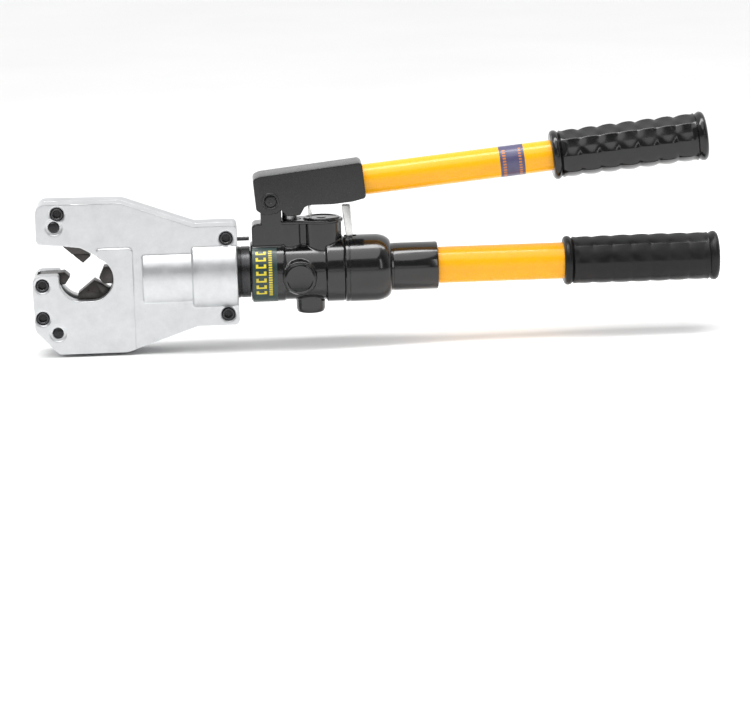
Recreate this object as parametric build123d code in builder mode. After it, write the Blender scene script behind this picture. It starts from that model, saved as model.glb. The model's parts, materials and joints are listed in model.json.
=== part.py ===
from build123d import *
import math
import os

# Hand-pumped hydraulic crimping tool with an open C-shaped head, in millimetres.
# The tool's axis is X, with the head at -X and the fixed handle's grip at the origin.
# Z is up, towards the pumping handle, and -Y is the front of the tool.

os.makedirs("parts", exist_ok=True)

# ---- Driving dimensions -----------------------------------------------------------------
# Lengths along the axis, from the grip forwards to the head
grip_length = 128.0
lower_tube_exposed = 103.5
socket_length = 38.5
bell_length = 38.0
flange_length = 15.5
barrel_length = 33.0
ring_length = 28.3
neck_gap = 10.3

# Head
head_half_depth = 20.0
head_lift = 1.6             # how far the jaws lie above the cylinder's axis
edge_break = 1.2            # corner cut round each cover's face
cover_wall = 5.0
throat_radius = 18.0
large_bulge_radius = 30.0
large_bulge_length = 38.0
small_bulge_radius = 26.5
small_bulge_length = 40.5
nose_zone = 9.0             # half width of the space between the frame plates
plate_thickness = 5.6
screw_radius = 3.0
screw_head_radius = 4.9
screw_head_height = 6.0
screw_grip = 9.0            # thread in the back cover
screw_socket = 2.9          # half width across the flats
pin_radius = 4.3
boss_radius = 7.5
nose_half_width = 7.5
roller_radius = 4.0
hub_radius = 7.2            # of the upper lever, beside the screw above its pivot
tongue_half_width = 3.8
ram_stroke = 12.0
lever_turn = 9.74           # degrees turned by the upper lever over the whole stroke

# Cylinder, ram and neck
cylinder_radius = 22.0
cylinder_nose_radius = 19.5
cylinder_bore = 15.0
piston_length = 12.0
seal_width = 4.0
seal_depth = 3.0
rod_radius = 8.0
gland_length = 10.0
spring_wire = 1.6
neck_radius = 21.0
spigot_radius = 17.0
spigot_length = 24.0
oil_bore = 3.0
index_pin_radius = 1.65
index_pin_height = 27.5

# Pump body
ring_radius = 25.0
barrel_radius = 24.0
flange_radius = 26.7
label_thickness = 0.3
label_width = 20.0
plunger_boss_radius = 12.5
reservoir_boss_radius = 16.4
boss_top = 42.5
rim_height = 2.5
plunger_radius = 6.0
plunger_depth = 30.0
gland_nut_radius = 9.0
knob_radius = 12.6
knob_reach = 32.0
knob_height = -2.3          # its centre, from the tool's axis
knob_thickness = 5.0
knob_boss_radius = 13.6
stub_radius = 11.9
stub_reach = 35.0
plug_radius = 8.0
valve_radius = 4.0

# Handles
bell_radius = 27.5
bell_shoulder = 25.0        # straight stretch of the bell before its dome
lower_tube_radius = 15.0
socket_wall = 4.6
socket_radius = lower_tube_radius + socket_wall
upper_tube_radius = 12.5
tube_wall = 2.0
grip_wall = 4.0
grip_radius = lower_tube_radius + grip_wall
grip_flange_radius = grip_radius + 1.2
grip_end_wall = 4.0
upper_grip_length = 128.0
upper_tube_exposed = 155.0
handle_angle = 5.43         # slope of the pumping handle at rest, degrees
pivot_height = 60.0
pivot_radius = 5.0
ear_radius = 8.5
tube_above_pivot = 5.6
bracket_half_width = upper_tube_radius + 4.5
bracket_cheek = 5.0
bracket_under = tube_above_pivot - upper_tube_radius - 2.0
bracket_over = tube_above_pivot + upper_tube_radius + 4.3
bracket_length = 77.5       # from the pivot to the bracket's rear end
link_arm = ear_radius + plunger_radius + 0.8   # from the pivot to the plunger's axis
link_drop = 5.0             # how far the link pin lies below the handle's pivot
link_radius = 3.0
cam_radius = upper_tube_radius + 2.5

# Fits
running = 0.05              # radial clearance of a shaft in its bore
loose = 0.3                 # gap between pieces of different bodies
side_play = 0.4             # gap beside a sliding or turning plate

# ---- Stations and places ------------------------------------------------------------------
x_grip = -grip_length / 2
x_tube = x_grip - lower_tube_exposed
x_socket = x_tube - socket_length
x_bell = x_socket - bell_length
x_flange = x_bell - flange_length
x_barrel = x_flange - barrel_length
x_ring = x_barrel - ring_length
x_head = x_ring - neck_gap                  # rear face of the head

plate_outer = nose_zone + plate_thickness
mechanism_half = nose_zone - side_play
cheek_inner = tongue_half_width + side_play
lever_pivot = (x_head - 148.0, 43.5 + head_lift)
anvil_dowel = (x_head - 148.0, -43.5 + head_lift)
screw_points = [
    (x_head - 145.0, 54.0 + head_lift), (x_head - 159.2, -4.2 + head_lift),
    (x_head - 159.8, -31.0 + head_lift),
    (x_head - 9.2, 31.2), (x_head - 9.2, -31.2),
]
throat_left = x_head - 127.6
throat_right = x_head - 119.5
x_small_bulge = x_head - large_bulge_length - small_bulge_length
x_large_bulge = x_head - large_bulge_length

pivot_x = x_ring + 17.7
plunger_x = pivot_x + link_arm
reservoir_x = plunger_x + plunger_boss_radius + reservoir_boss_radius - 3.0
knob_x = x_barrel + 11.2
stub_x = x_barrel + 20.0
release_x = x_bell + 5.2


def shifted(points):
    """Points of the head's side view, measured from its rear face."""
    return [(x_head + across, up + head_lift) for across, up in points]


def polygon(points):
    """A closed outline with straight sides, on its own plane."""
    with BuildSketch() as face:
        with BuildLine():
            Polyline(*points, close=True)
        make_face()
    return face.sketch


def lathe(points, base=0.0):
    """Half the section of a part turned about X, from (along, radius) points."""
    with BuildSketch(Plane.XZ) as face:
        with BuildLine():
            Polyline(*[(base + along, radius) for along, radius in points], close=True)
        make_face()
    return face.sketch


def spindle(points, x, y=0.0):
    """Half the section of a part turned about the vertical through x, from (radius, up)."""
    with BuildSketch(Plane.XZ.offset(-y)) as face:
        with BuildLine():
            Polyline(*[(x + radius, up) for radius, up in points], close=True)
        make_face()
    return face.sketch


def upright(x, y=0.0):
    """The vertical axis through a point of the plan."""
    return Axis((x, y, 0), (0, 0, 1))


def finish(part, label):
    """Name the finished piece and write it out."""
    part.label = label
    export_step(part, "parts/" + label + ".step")


# ---- Head: the side view of the covers ------------------------------------------------------
head_corners = shifted([
    (-162.7, 62.3), (-93.7, 61.4), (-35.0, 40.0), (0, 40.0), (0, -42.0), (-34.0, -42.0),
    (-91.7, -61.4), (-147.5, -61.4), (-166.5, -41.4), (-167.5, 4.2), (-145.6, 4.2),
    (-145.6, 0.0), (-127.6, 0.0), (-119.5, 14.0), (-112.8, 17.6), (-127.3, 25.9),
    (-142.1, 27.8), (-162.9, 31.5),
])
with BuildSketch() as head_face:
    add(polygon(head_corners))
    fillet(head_face.vertices().filter_by(lambda v: v.X < x_head - 155 and v.Y > 31), radius=7.5)
    fillet(head_face.vertices().filter_by(lambda v: v.X < x_head - 166 and v.Y > 0), radius=7.0)
    fillet(head_face.vertices().filter_by(lambda v: v.X > x_head - 1), radius=4.0)
    fillet(head_face.vertices().filter_by(
        lambda v: x_head - 95 < v.X < x_head - 30 and abs(v.Y) > 39), radius=12.0)
    with Locations(((throat_left + throat_right) / 2, head_lift)):
        SlotCenterToCenter(throat_right - throat_left, 2 * throat_radius, mode=Mode.SUBTRACT)



def pocket(screws):
    """The covers' inside outline, less a boss round each of the screws."""
    with BuildSketch() as face:
        add(head_face.sketch)
        offset(amount=-cover_wall, mode=Mode.REPLACE)
        with Locations(*screws):
            Circle(boss_radius, mode=Mode.SUBTRACT)
    return face.sketch


# Where the indenters come through the covers into the throat
nose_openings = shifted([
    (-151.5, -24.0), (-96.0, -24.0), (-96.0, 10.0), (-111.5, 10.0), (-111.5, 34.5),
    (-147.3, 34.5), (-147.3, -1.0), (-151.5, -1.0),
])

cylinder_space = [
    (-78.5, 0), (-78.5, cylinder_nose_radius + running),
    (-40.0, cylinder_nose_radius + running), (-40.0, cylinder_radius + running),
    (-cover_wall, cylinder_radius + running), (-cover_wall, neck_radius + loose),
    (1.0, neck_radius + loose), (1.0, 0),
]


def head_cover(side):
    """One half of the head's casting: side is 1 for the front and -1 for the back."""
    with BuildPart() as cover:
        with BuildSketch(Plane.XZ):
            add(head_face.sketch)
        extrude(amount=side * head_half_depth)
        outer = cover.faces().filter_by(Axis.Y).sort_by(Axis.Y)[0 if side > 0 else -1]
        chamfer(outer.edges(), length=edge_break)
        for x, length, radius in (
            (x_small_bulge, small_bulge_length + 1, small_bulge_radius),
            (x_large_bulge, large_bulge_length - 0.6, large_bulge_radius),
        ):
            with BuildSketch(Plane.YZ.offset(x)):
                Circle(radius)
                with Locations((side * radius, 0)):
                    Rectangle(2 * radius, 2 * radius, mode=Mode.SUBTRACT)
            extrude(amount=length)
        with BuildSketch(Plane.XZ):
            add(pocket(screw_points))
        extrude(amount=side * plate_outer, mode=Mode.SUBTRACT)
        with BuildSketch(Plane.XZ):
            add(pocket(screw_points[1:]))
            add(polygon(nose_openings))
        extrude(amount=side * nose_zone, mode=Mode.SUBTRACT)
        revolve(lathe(cylinder_space, x_head), axis=Axis.X, mode=Mode.SUBTRACT)
        with BuildSketch(Plane.XZ):
            with Locations(lever_pivot, anvil_dowel):
                Circle(pin_radius + running)
        extrude(amount=side * 2 * head_half_depth, mode=Mode.SUBTRACT)
        with BuildSketch(Plane.XZ):
            with Locations(*screw_points):
                Circle(screw_radius + running)
        extrude(amount=side * (2 * head_half_depth if side > 0 else screw_grip), mode=Mode.SUBTRACT)
        if side > 0:
            with BuildSketch(Plane.XZ.offset(head_half_depth - screw_head_height)):
                with Locations(*screw_points):
                    Circle(screw_head_radius + loose)
            extrude(amount=head_half_depth, mode=Mode.SUBTRACT)
    return cover.part


finish(head_cover(1), "head_cover_front")
finish(head_cover(-1), "head_cover_back")


def frame_plate(side):
    """Steel side plate that carries the crimping load inside one cover."""
    with BuildPart() as plate:
        with BuildSketch(Plane.XZ.offset(side * nose_zone)):
            add(head_face.sketch)
            offset(amount=-cover_wall - running, mode=Mode.REPLACE)
            with Locations(*screw_points):
                Circle(boss_radius + running, mode=Mode.SUBTRACT)
            with Locations(lever_pivot, anvil_dowel):
                Circle(pin_radius + running, mode=Mode.SUBTRACT)
        extrude(amount=side * plate_thickness)
        revolve(lathe(cylinder_space, x_head), axis=Axis.X, mode=Mode.SUBTRACT)
    return plate.part


finish(frame_plate(1), "frame_plate_front")
finish(frame_plate(-1), "frame_plate_back")

with BuildPart() as cover_screws:
    with BuildSketch(Plane.XZ.offset(-screw_grip)):
        with Locations(*screw_points):
            Circle(screw_radius)
    extrude(amount=screw_grip + head_half_depth - screw_head_height)
    with BuildSketch(Plane.XZ.offset(head_half_depth - screw_head_height)):
        with Locations(*screw_points):
            Circle(screw_head_radius)
    extrude(amount=screw_head_height - 0.4)
    with BuildSketch(Plane.XZ.offset(head_half_depth - 0.4)):
        with Locations(*screw_points):
            RegularPolygon(screw_socket, 6, major_radius=False)
    extrude(amount=-3.5, mode=Mode.SUBTRACT)
finish(cover_screws.part, "cover_screws")


def head_pin(place):
    """Hardened pin across the head, flush with both covers."""
    with BuildPart() as pin:
        with BuildSketch(Plane.XZ.offset(-head_half_depth + 0.6)):
            with Locations(place):
                Circle(pin_radius)
        extrude(amount=2 * head_half_depth - 1.2)
        chamfer(pin.edges().filter_by(GeomType.CIRCLE), length=0.5)
    return pin.part


finish(head_pin(lever_pivot), "lever_pivot_pin")
finish(head_pin(anvil_dowel), "anvil_dowel")

# ---- Fixed anvil in the hook ---------------------------------------------------------------
with BuildPart() as anvil_block:
    with BuildSketch(Plane.XZ.offset(-mechanism_half)):
        add(polygon(shifted([
            (-161.0, -1.6), (-147.2, -1.6), (-147.2, -37.5), (-138.0, -37.5), (-138.0, -54.0),
            (-146.8, -54.0), (-160.6, -39.4),
        ])))
        with Locations(*screw_points):
            Circle(boss_radius + running, mode=Mode.SUBTRACT)
        with Locations(anvil_dowel):
            Circle(pin_radius + running, mode=Mode.SUBTRACT)
    extrude(amount=2 * mechanism_half)
finish(anvil_block.part, "anvil_block")


def indenter(points, label, tip):
    """Hardened crimping nose with its tip's end corners cut back."""
    with BuildPart() as nose:
        with BuildSketch(Plane.XZ.offset(-nose_half_width)):
            add(polygon(shifted(points)))
        extrude(amount=2 * nose_half_width)
        tip_at = (x_head + tip[0], 0, tip[1] + head_lift)
        tip_edge = nose.edges().filter_by(Axis.Y).sort_by_distance(tip_at)[0]
        corners = tip_edge.vertices()
        chamfer(corners_of(nose, corners), length=1.6)
    finish(nose.part, label)


def corners_of(nose, vertices):
    """The short edges that leave the tip at its two ends."""
    tips = [Vector(v.X, v.Y, v.Z) for v in vertices]
    return nose.edges().filter_by(
        lambda e: abs(e.center().Y) > nose_half_width - 0.01
        and any((e @ t - tip).length < 0.01 for t in (0, 1) for tip in tips)
    )


indenter(
    [(-147.1, 4.0), (-141.5, 4.6), (-137.0, 0.5), (-141.0, -5.2), (-147.1, -6.2)],
    "anvil_indenter", (-137.0, 0.5),
)

# ---- Cylinder and neck ---------------------------------------------------------------------
bore_end = -8.0             # rear end of the cylinder's bore, from the head's rear face
neck_end = neck_gap - loose
spigot_end = neck_end + spigot_length
groove_start = neck_end + 6.0
groove_end = groove_start + 5.0
ring_seal = groove_end + 5.0
with BuildPart() as cylinder:
    revolve(lathe([
        (-78.0, cylinder_bore), (-78.0, cylinder_nose_radius), (-39.5, cylinder_nose_radius),
        (-39.5, cylinder_radius), (-cover_wall - 0.1, cylinder_radius),
        (-cover_wall - 0.1, neck_radius), (neck_end, neck_radius), (neck_end, spigot_radius),
        (groove_start, spigot_radius), (groove_start, spigot_radius - 2),
        (groove_end, spigot_radius - 2), (groove_end, spigot_radius), (ring_seal, spigot_radius),
        (ring_seal, spigot_radius - seal_depth), (ring_seal + seal_width, spigot_radius - seal_depth),
        (ring_seal + seal_width, spigot_radius), (spigot_end, spigot_radius),
        (spigot_end, oil_bore), (bore_end, oil_bore), (bore_end, cylinder_bore),
    ], x_head), axis=Axis.X)
finish(cylinder.part, "cylinder")

with BuildPart() as neck_seal:
    revolve(lathe([
        (ring_seal + running, spigot_radius - seal_depth), (ring_seal + running, spigot_radius),
        (ring_seal + seal_width - running, spigot_radius),
        (ring_seal + seal_width - running, spigot_radius - seal_depth),
    ], x_head), axis=Axis.X)
finish(neck_seal.part, "neck_seal")

with BuildPart() as cylinder_gland:
    revolve(lathe([
        (-78.0, rod_radius + running), (-78.0, cylinder_bore - running),
        (-78.0 + gland_length, cylinder_bore - running), (-78.0 + gland_length, rod_radius + running),
    ], x_head), axis=Axis.X)
finish(cylinder_gland.part, "cylinder_gland")

with BuildPart() as index_pin:
    with BuildSketch(Plane.YZ.offset(x_head)):
        with Locations((0, index_pin_height)):
            Circle(index_pin_radius)
    extrude(amount=neck_gap - loose)
finish(index_pin.part, "index_pin")

# ---- Ram, which carries the right and lower indenters ---------------------------------------
piston_back = bore_end - 2.0
piston_front = piston_back - piston_length
seal_front = piston_back - 4.0 - seal_width
with BuildPart() as piston:
    revolve(lathe([
        (piston_back, 0), (piston_back, cylinder_bore - running),
        (seal_front + seal_width, cylinder_bore - running),
        (seal_front + seal_width, cylinder_bore - seal_depth),
        (seal_front, cylinder_bore - seal_depth), (seal_front, cylinder_bore - running),
        (piston_front, cylinder_bore - running), (piston_front, 0),
    ], x_head), axis=Axis.X)
finish(piston.part, "piston")

with BuildPart() as piston_seal:
    revolve(lathe([
        (seal_front + running, cylinder_bore - seal_depth), (seal_front + running, cylinder_bore - running),
        (seal_front + seal_width - running, cylinder_bore - running),
        (seal_front + seal_width - running, cylinder_bore - seal_depth),
    ], x_head), axis=Axis.X)
finish(piston_seal.part, "piston_seal")

rod_front = -90.0
block_back = -79.0
with BuildPart() as ram_rod:
    revolve(lathe([
        (piston_front, 0), (piston_front, rod_radius), (rod_front + 1, rod_radius),
        (rod_front, rod_radius - 1), (rod_front, 0),
    ], x_head), axis=Axis.X)
finish(ram_rod.part, "ram_rod")

spring_radius = (cylinder_bore + rod_radius) / 2
spring_start = x_head - 78.0 + gland_length + spring_wire
spring_length = x_head + piston_front - spring_wire - spring_start
with BuildPart() as return_spring:
    with BuildLine() as coil:
        Helix(spring_length / 6, spring_length, spring_radius, (spring_start, 0, 0), (1, 0, 0))
    with BuildSketch(Plane(origin=coil.line @ 0, z_dir=coil.line % 0)):
        Circle(spring_wire)
    sweep()
finish(return_spring.part, "return_spring")

# The upper lever's tail roller runs in a curved slot of the drive block's fork
roller_reach = (56.0, -3.0)


def roller_place(travel):
    """The roller's centre seen from the drive block, with the ram out by travel."""
    turn = -math.radians(lever_turn) * travel / ram_stroke
    across = roller_reach[0] * math.cos(turn) - roller_reach[1] * math.sin(turn)
    up = roller_reach[0] * math.sin(turn) + roller_reach[1] * math.cos(turn)
    return (lever_pivot[0] + across + travel, lever_pivot[1] + up)


roller_path = ThreePointArc(
    roller_place(0), roller_place(ram_stroke / 2), roller_place(ram_stroke)
)
with BuildPart() as drive_block:
    with BuildSketch(Plane.XZ.offset(-mechanism_half)):
        add(polygon(shifted([
            (-96.0, 8.5), (-84.5, 8.5), (-84.5, 20.5), (block_back, 20.5), (block_back, -30.0),
            (-85.0, -36.0), (-133.0, -36.0), (-133.0, -19.7), (-96.0, -19.7),
        ])))
    extrude(amount=2 * mechanism_half)
    for start in (-mechanism_half, cheek_inner):
        with BuildSketch(Plane.XZ.offset(start)):
            add(polygon(shifted([
                (-101.0, 49.0), (-89.0, 49.0), (-72.0, 36.0), (-72.0, 20.8), (block_back, 20.8),
                (block_back, 12.0), (-84.5, 12.0), (-84.5, 21.0), (-101.0, 34.0),
            ])))
            SlotArc(roller_path, 2 * (roller_radius + loose), mode=Mode.SUBTRACT)
        extrude(amount=mechanism_half - cheek_inner)
    with BuildSketch(Plane.YZ.offset(x_head + rod_front - 0.5)):
        Circle(rod_radius + running)
    extrude(amount=block_back - rod_front + 0.5, mode=Mode.SUBTRACT)
finish(drive_block.part, "drive_block")

indenter(
    [(-96.05, 7.7), (-109.5, 7.7), (-113.6, -1.3), (-109.8, -6.0), (-96.05, -6.0)],
    "ram_indenter", (-113.6, -1.3),
)
indenter(
    [(-131.0, -19.65), (-131.0, -13.6), (-117.4, -2.7), (-105.5, -10.3), (-105.5, -19.65)],
    "lower_indenter", (-117.4, -2.7),
)

# ---- Upper lever ---------------------------------------------------------------------------
with BuildPart() as upper_lever:
    with BuildSketch(Plane.XZ.offset(-tongue_half_width)):
        with Locations(lever_pivot):
            Circle(hub_radius)
        with Locations(roller_place(0)):
            Circle(7.0)
        add(polygon([
            (lever_pivot[0], lever_pivot[1] + 6.5),
            (lever_pivot[0] + roller_reach[0], lever_pivot[1] + 2.5),
            (lever_pivot[0] + roller_reach[0], lever_pivot[1] - 8.5),
            (lever_pivot[0], lever_pivot[1] - 8.0),
        ]))
    extrude(amount=2 * tongue_half_width)
    with BuildSketch(Plane.XZ.offset(-mechanism_half)):
        add(polygon(shifted([
            (-143.0, 37.0), (-142.3, 26.4), (-134.5, 19.4), (-121.5, 19.4), (-115.5, 25.5),
            (-114.5, 37.0),
        ])))
        with Locations(lever_pivot):
            Circle(hub_radius)
    extrude(amount=2 * mechanism_half)
    with BuildSketch(Plane.XZ.offset(-mechanism_half)):
        with Locations(lever_pivot):
            Circle(pin_radius + running)
        with Locations(roller_place(0)):
            Circle(roller_radius + running)
    extrude(amount=2 * mechanism_half, mode=Mode.SUBTRACT)
finish(upper_lever.part, "upper_lever")

indenter(
    [(-134.4, 19.35), (-132.5, 17.4), (-126.0, 11.7), (-119.6, 17.2), (-121.6, 19.35)],
    "upper_indenter", (-126.0, 11.7),
)

with BuildPart() as lever_roller:
    with BuildSketch(Plane.XZ.offset(-mechanism_half)):
        with Locations(roller_place(0)):
            Circle(roller_radius)
    extrude(amount=2 * mechanism_half)
finish(lever_roller.part, "lever_roller")

# ---- Pump body -----------------------------------------------------------------------------
spigot_bottom = x_ring + spigot_length + 1.0
ear_half_width = bracket_half_width - bracket_cheek - side_play
plunger_bottom = boss_top - plunger_depth
chamber_depth = 10.0
with BuildPart() as pump_body:
    revolve(lathe([
        (x_ring, 0), (x_ring, ring_radius - 1), (x_ring + 1, ring_radius), (x_barrel, ring_radius),
        (x_barrel, barrel_radius), (x_flange, barrel_radius), (x_flange, flange_radius),
        (x_bell, flange_radius), (x_bell, 0),
    ]), axis=Axis.X)
    with BuildSketch():
        with Locations((plunger_x, 0)):
            Circle(plunger_boss_radius)
        with Locations((reservoir_x, 0)):
            Circle(reservoir_boss_radius)
    extrude(amount=boss_top - rim_height)
    with BuildSketch(Plane.XY.offset(boss_top - rim_height)):
        with Locations((plunger_x, 0)):
            Circle(plunger_boss_radius + 1)
        with Locations((reservoir_x, 0)):
            Circle(reservoir_boss_radius + 1.2)
    extrude(amount=rim_height)
    with BuildSketch(Plane.XZ.offset(-ear_half_width)):
        with BuildLine():
            Polyline(
                (x_ring + 1.7, 10.0), (x_ring + 1.7, 41.0), (pivot_x - ear_radius, 41.0),
                (pivot_x - ear_radius, pivot_height), (pivot_x + ear_radius, pivot_height),
                (pivot_x + ear_radius, 10.0),
                close=True,
            )
        make_face()
        with Locations((pivot_x, pivot_height)):
            Circle(ear_radius)
            Circle(pivot_radius + running, mode=Mode.SUBTRACT)
    extrude(amount=2 * ear_half_width)
    with BuildSketch(Plane.XZ):
        with Locations((knob_x, knob_height)):
            Circle(knob_boss_radius)
    extrude(amount=knob_reach - knob_thickness)
    with BuildSketch(Plane.XY.offset(-stub_reach)):
        with Locations((stub_x, 0)):
            Circle(stub_radius)
    extrude(amount=stub_reach)
    # bores: neck spigot, oil gallery, reservoir chamber, plunger, valves and plug
    with BuildSketch(Plane.YZ.offset(x_ring)):
        Circle(spigot_radius + running)
    extrude(amount=spigot_bottom - x_ring, mode=Mode.SUBTRACT)
    with BuildSketch(Plane.YZ.offset(spigot_bottom)):
        Circle(oil_bore)
    extrude(amount=x_bell - spigot_bottom, mode=Mode.SUBTRACT)
    with BuildSketch(Plane.YZ.offset(x_bell - chamber_depth)):
        Circle(lower_tube_radius)
    extrude(amount=chamber_depth, mode=Mode.SUBTRACT)
    with BuildSketch(Plane.XY.offset(plunger_bottom)):
        with Locations((plunger_x, 0)):
            Circle(plunger_radius + running)
    extrude(amount=plunger_depth, mode=Mode.SUBTRACT)
    with BuildSketch():
        with Locations((plunger_x, 0)):
            Circle(2.0)
    extrude(amount=plunger_bottom, mode=Mode.SUBTRACT)
    with BuildSketch(Plane.XY.offset(boss_top - 6.0)):
        with Locations((plunger_x, 0)):
            Circle(gland_nut_radius)
    extrude(amount=6.0, mode=Mode.SUBTRACT)
    with BuildSketch(Plane.XZ):
        with Locations((knob_x, knob_height)):
            Circle(valve_radius + 1)
    extrude(amount=knob_reach, mode=Mode.SUBTRACT)
    with BuildSketch(Plane.XY.offset(-stub_reach)):
        with Locations((stub_x, 0)):
            Circle(plug_radius)
    extrude(amount=8.0, mode=Mode.SUBTRACT)
    with BuildSketch(Plane.XY.offset(-stub_reach)):
        with Locations((stub_x, 0)):
            Circle(valve_radius + 1)
    extrude(amount=stub_reach - oil_bore, mode=Mode.SUBTRACT)
    with BuildSketch(Plane.XY.offset(-ring_radius - 1)):
        with Locations((x_head + groove_start + 2.5, 0)):
            Circle(2.5)
    extrude(amount=ring_radius - 10, mode=Mode.SUBTRACT)
finish(pump_body.part, "pump_body")

with BuildPart() as label_band:
    revolve(lathe([
        (x_ring + 1.2, ring_radius), (x_ring + 1.2, ring_radius + label_thickness),
        (x_ring + 1.2 + label_width, ring_radius + label_thickness),
        (x_ring + 1.2 + label_width, ring_radius),
    ]), axis=Axis.X, revolution_arc=200)
label_band.part = label_band.part.rotate(Axis.X, 35)
finish(label_band.part, "label_band")

with BuildPart() as neck_grub_screw:
    with BuildSketch(Plane.XY.offset(-ring_radius + 0.5)):
        with Locations((x_head + groove_start + 2.5, 0)):
            Circle(2.5)
    extrude(amount=ring_radius - spigot_radius + 1.0)
finish(neck_grub_screw.part, "neck_grub_screw")

with BuildPart() as plunger_gland:
    revolve(spindle([
        (plunger_radius + running, boss_top - 6.0), (gland_nut_radius - running, boss_top - 6.0),
        (gland_nut_radius - running, boss_top), (plunger_radius + running, boss_top),
    ], plunger_x), axis=upright(plunger_x))
finish(plunger_gland.part, "plunger_gland")

with BuildPart() as reservoir_cap:
    with BuildSketch(Plane.XY.offset(boss_top)):
        with Locations((reservoir_x, 0)):
            Circle(reservoir_boss_radius - 1.5)
    extrude(amount=1.4)
    fillet(reservoir_cap.edges().group_by(Axis.Z)[-1], radius=0.8)
finish(reservoir_cap.part, "reservoir_cap")

with BuildPart() as stop_pin:
    with BuildSketch(Plane.XY.offset(boss_top + 1.4)):
        with Locations((reservoir_x - 9.0, 0)):
            Circle(1.4)
    extrude(amount=pivot_height - boss_top - 7.6)
finish(stop_pin.part, "stop_pin")

with BuildPart() as valve_cap:
    with BuildSketch(Plane.XZ.offset(knob_reach - knob_thickness)):
        with Locations((knob_x, knob_height)):
            Circle(knob_radius)
    extrude(amount=knob_thickness)
    fillet(valve_cap.edges().group_by(Axis.Y)[0], radius=1.2)
    with BuildSketch(Plane.XZ.offset(knob_reach - knob_thickness - 6.0)):
        with Locations((knob_x, knob_height)):
            Circle(valve_radius + 1 - running)
    extrude(amount=6.0)
finish(valve_cap.part, "valve_cap")

with BuildPart() as valve_balls:
    with Locations((knob_x, -6.0, knob_height), (stub_x, 0, -stub_reach + 22.0)):
        Sphere(valve_radius)
finish(valve_balls.part, "valve_balls")

with BuildPart() as valve_springs:
    with BuildLine() as safety_coil:
        Helix(2.2, 9.0, 3.6, (knob_x, -10.8, knob_height), (0, -1, 0))
    with BuildSketch(Plane(origin=safety_coil.line @ 0, z_dir=safety_coil.line % 0)):
        Circle(0.5)
    sweep()
    with BuildLine() as check_coil:
        Helix(2.2, 8.0, 3.6, (stub_x, 0, -stub_reach + 9.0))
    with BuildSketch(Plane(origin=check_coil.line @ 0, z_dir=check_coil.line % 0)):
        Circle(0.5)
    sweep(path=check_coil.line)
finish(valve_springs.part, "valve_springs")

with BuildPart() as bottom_plug:
    with BuildSketch(Plane.XY.offset(-stub_reach)):
        with Locations((stub_x, 0)):
            Circle(plug_radius - running)
    extrude(amount=8.0)
    with BuildSketch(Plane.XY.offset(-stub_reach)):
        with Locations((stub_x, 0)):
            RegularPolygon(4.0, 6, major_radius=False)
    extrude(amount=4.5, mode=Mode.SUBTRACT)
finish(bottom_plug.part, "bottom_plug")

# ---- Fixed handle --------------------------------------------------------------------------
release_hole = (10.0, 9.0)
release_floor = 14.0
tube_front = x_socket + 3.0
tube_back = grip_length / 2 - grip_end_wall
with BuildPart() as rear_bell:
    with BuildSketch(Plane.XZ):
        with BuildLine():
            Line((x_bell, 0), (x_bell, bell_radius))
            Line((x_bell, bell_radius), (x_bell + bell_shoulder, bell_radius))
            ThreePointArc(
                (x_bell + bell_shoulder, bell_radius),
                (x_bell + bell_shoulder + 0.72 * (bell_length - bell_shoulder),
                 socket_radius + 0.7 * (bell_radius - socket_radius)),
                (x_socket, socket_radius),
            )
            Line((x_socket, socket_radius), (x_tube, socket_radius))
            Line((x_tube, socket_radius), (x_tube, 0))
            Line((x_tube, 0), (x_bell, 0))
        make_face()
    revolve(axis=Axis.X)
    with BuildSketch(Plane.YZ.offset(tube_front)):
        Circle(lower_tube_radius + running)
    extrude(amount=x_tube - tube_front, mode=Mode.SUBTRACT)
    with BuildSketch(Plane.YZ.offset(x_bell)):
        Circle(10.0)
    extrude(amount=tube_front - x_bell, mode=Mode.SUBTRACT)
    with BuildSketch(Plane.XY.offset(release_floor)):
        with Locations((release_x, 0)):
            RectangleRounded(*release_hole, radius=2.0)
    extrude(amount=bell_radius, mode=Mode.SUBTRACT)
finish(rear_bell.part, "rear_bell")

with BuildPart() as lower_tube:
    with BuildSketch(Plane.YZ.offset(tube_front)):
        Circle(lower_tube_radius)
        Circle(lower_tube_radius - tube_wall, mode=Mode.SUBTRACT)
    extrude(amount=tube_back - tube_front)
finish(lower_tube.part, "lower_tube")

bladder_radius = lower_tube_radius - tube_wall - 2.0
bladder_front = tube_front + 2.0
bladder_back = tube_back - 60.0
with BuildPart() as oil_bladder:
    revolve(lathe([
        (bladder_front, 5.0), (bladder_front, 6.5), (bladder_front + 8, 6.5),
        (bladder_front + 18, bladder_radius), (bladder_back - 8, bladder_radius),
        (bladder_back, 4.0), (bladder_back, 0), (bladder_back - 2, 0), (bladder_back - 9, bladder_radius - 1.7),
        (bladder_front + 19, bladder_radius - 1.6), (bladder_front + 9, 5.0),
    ]), axis=Axis.X)
finish(oil_bladder.part, "oil_bladder")

with BuildPart() as bladder_clamp:
    revolve(lathe([
        (bladder_front + 2, 6.5 + running), (bladder_front + 2, 8.2), (bladder_front + 6, 8.2),
        (bladder_front + 6, 6.5 + running),
    ]), axis=Axis.X)
finish(bladder_clamp.part, "bladder_clamp")

with BuildPart() as tube_end_plug:
    with BuildSketch(Plane.YZ.offset(tube_back - 14.0)):
        Circle(lower_tube_radius - tube_wall - running)
    extrude(amount=12.0)
finish(tube_end_plug.part, "tube_end_plug")


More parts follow.
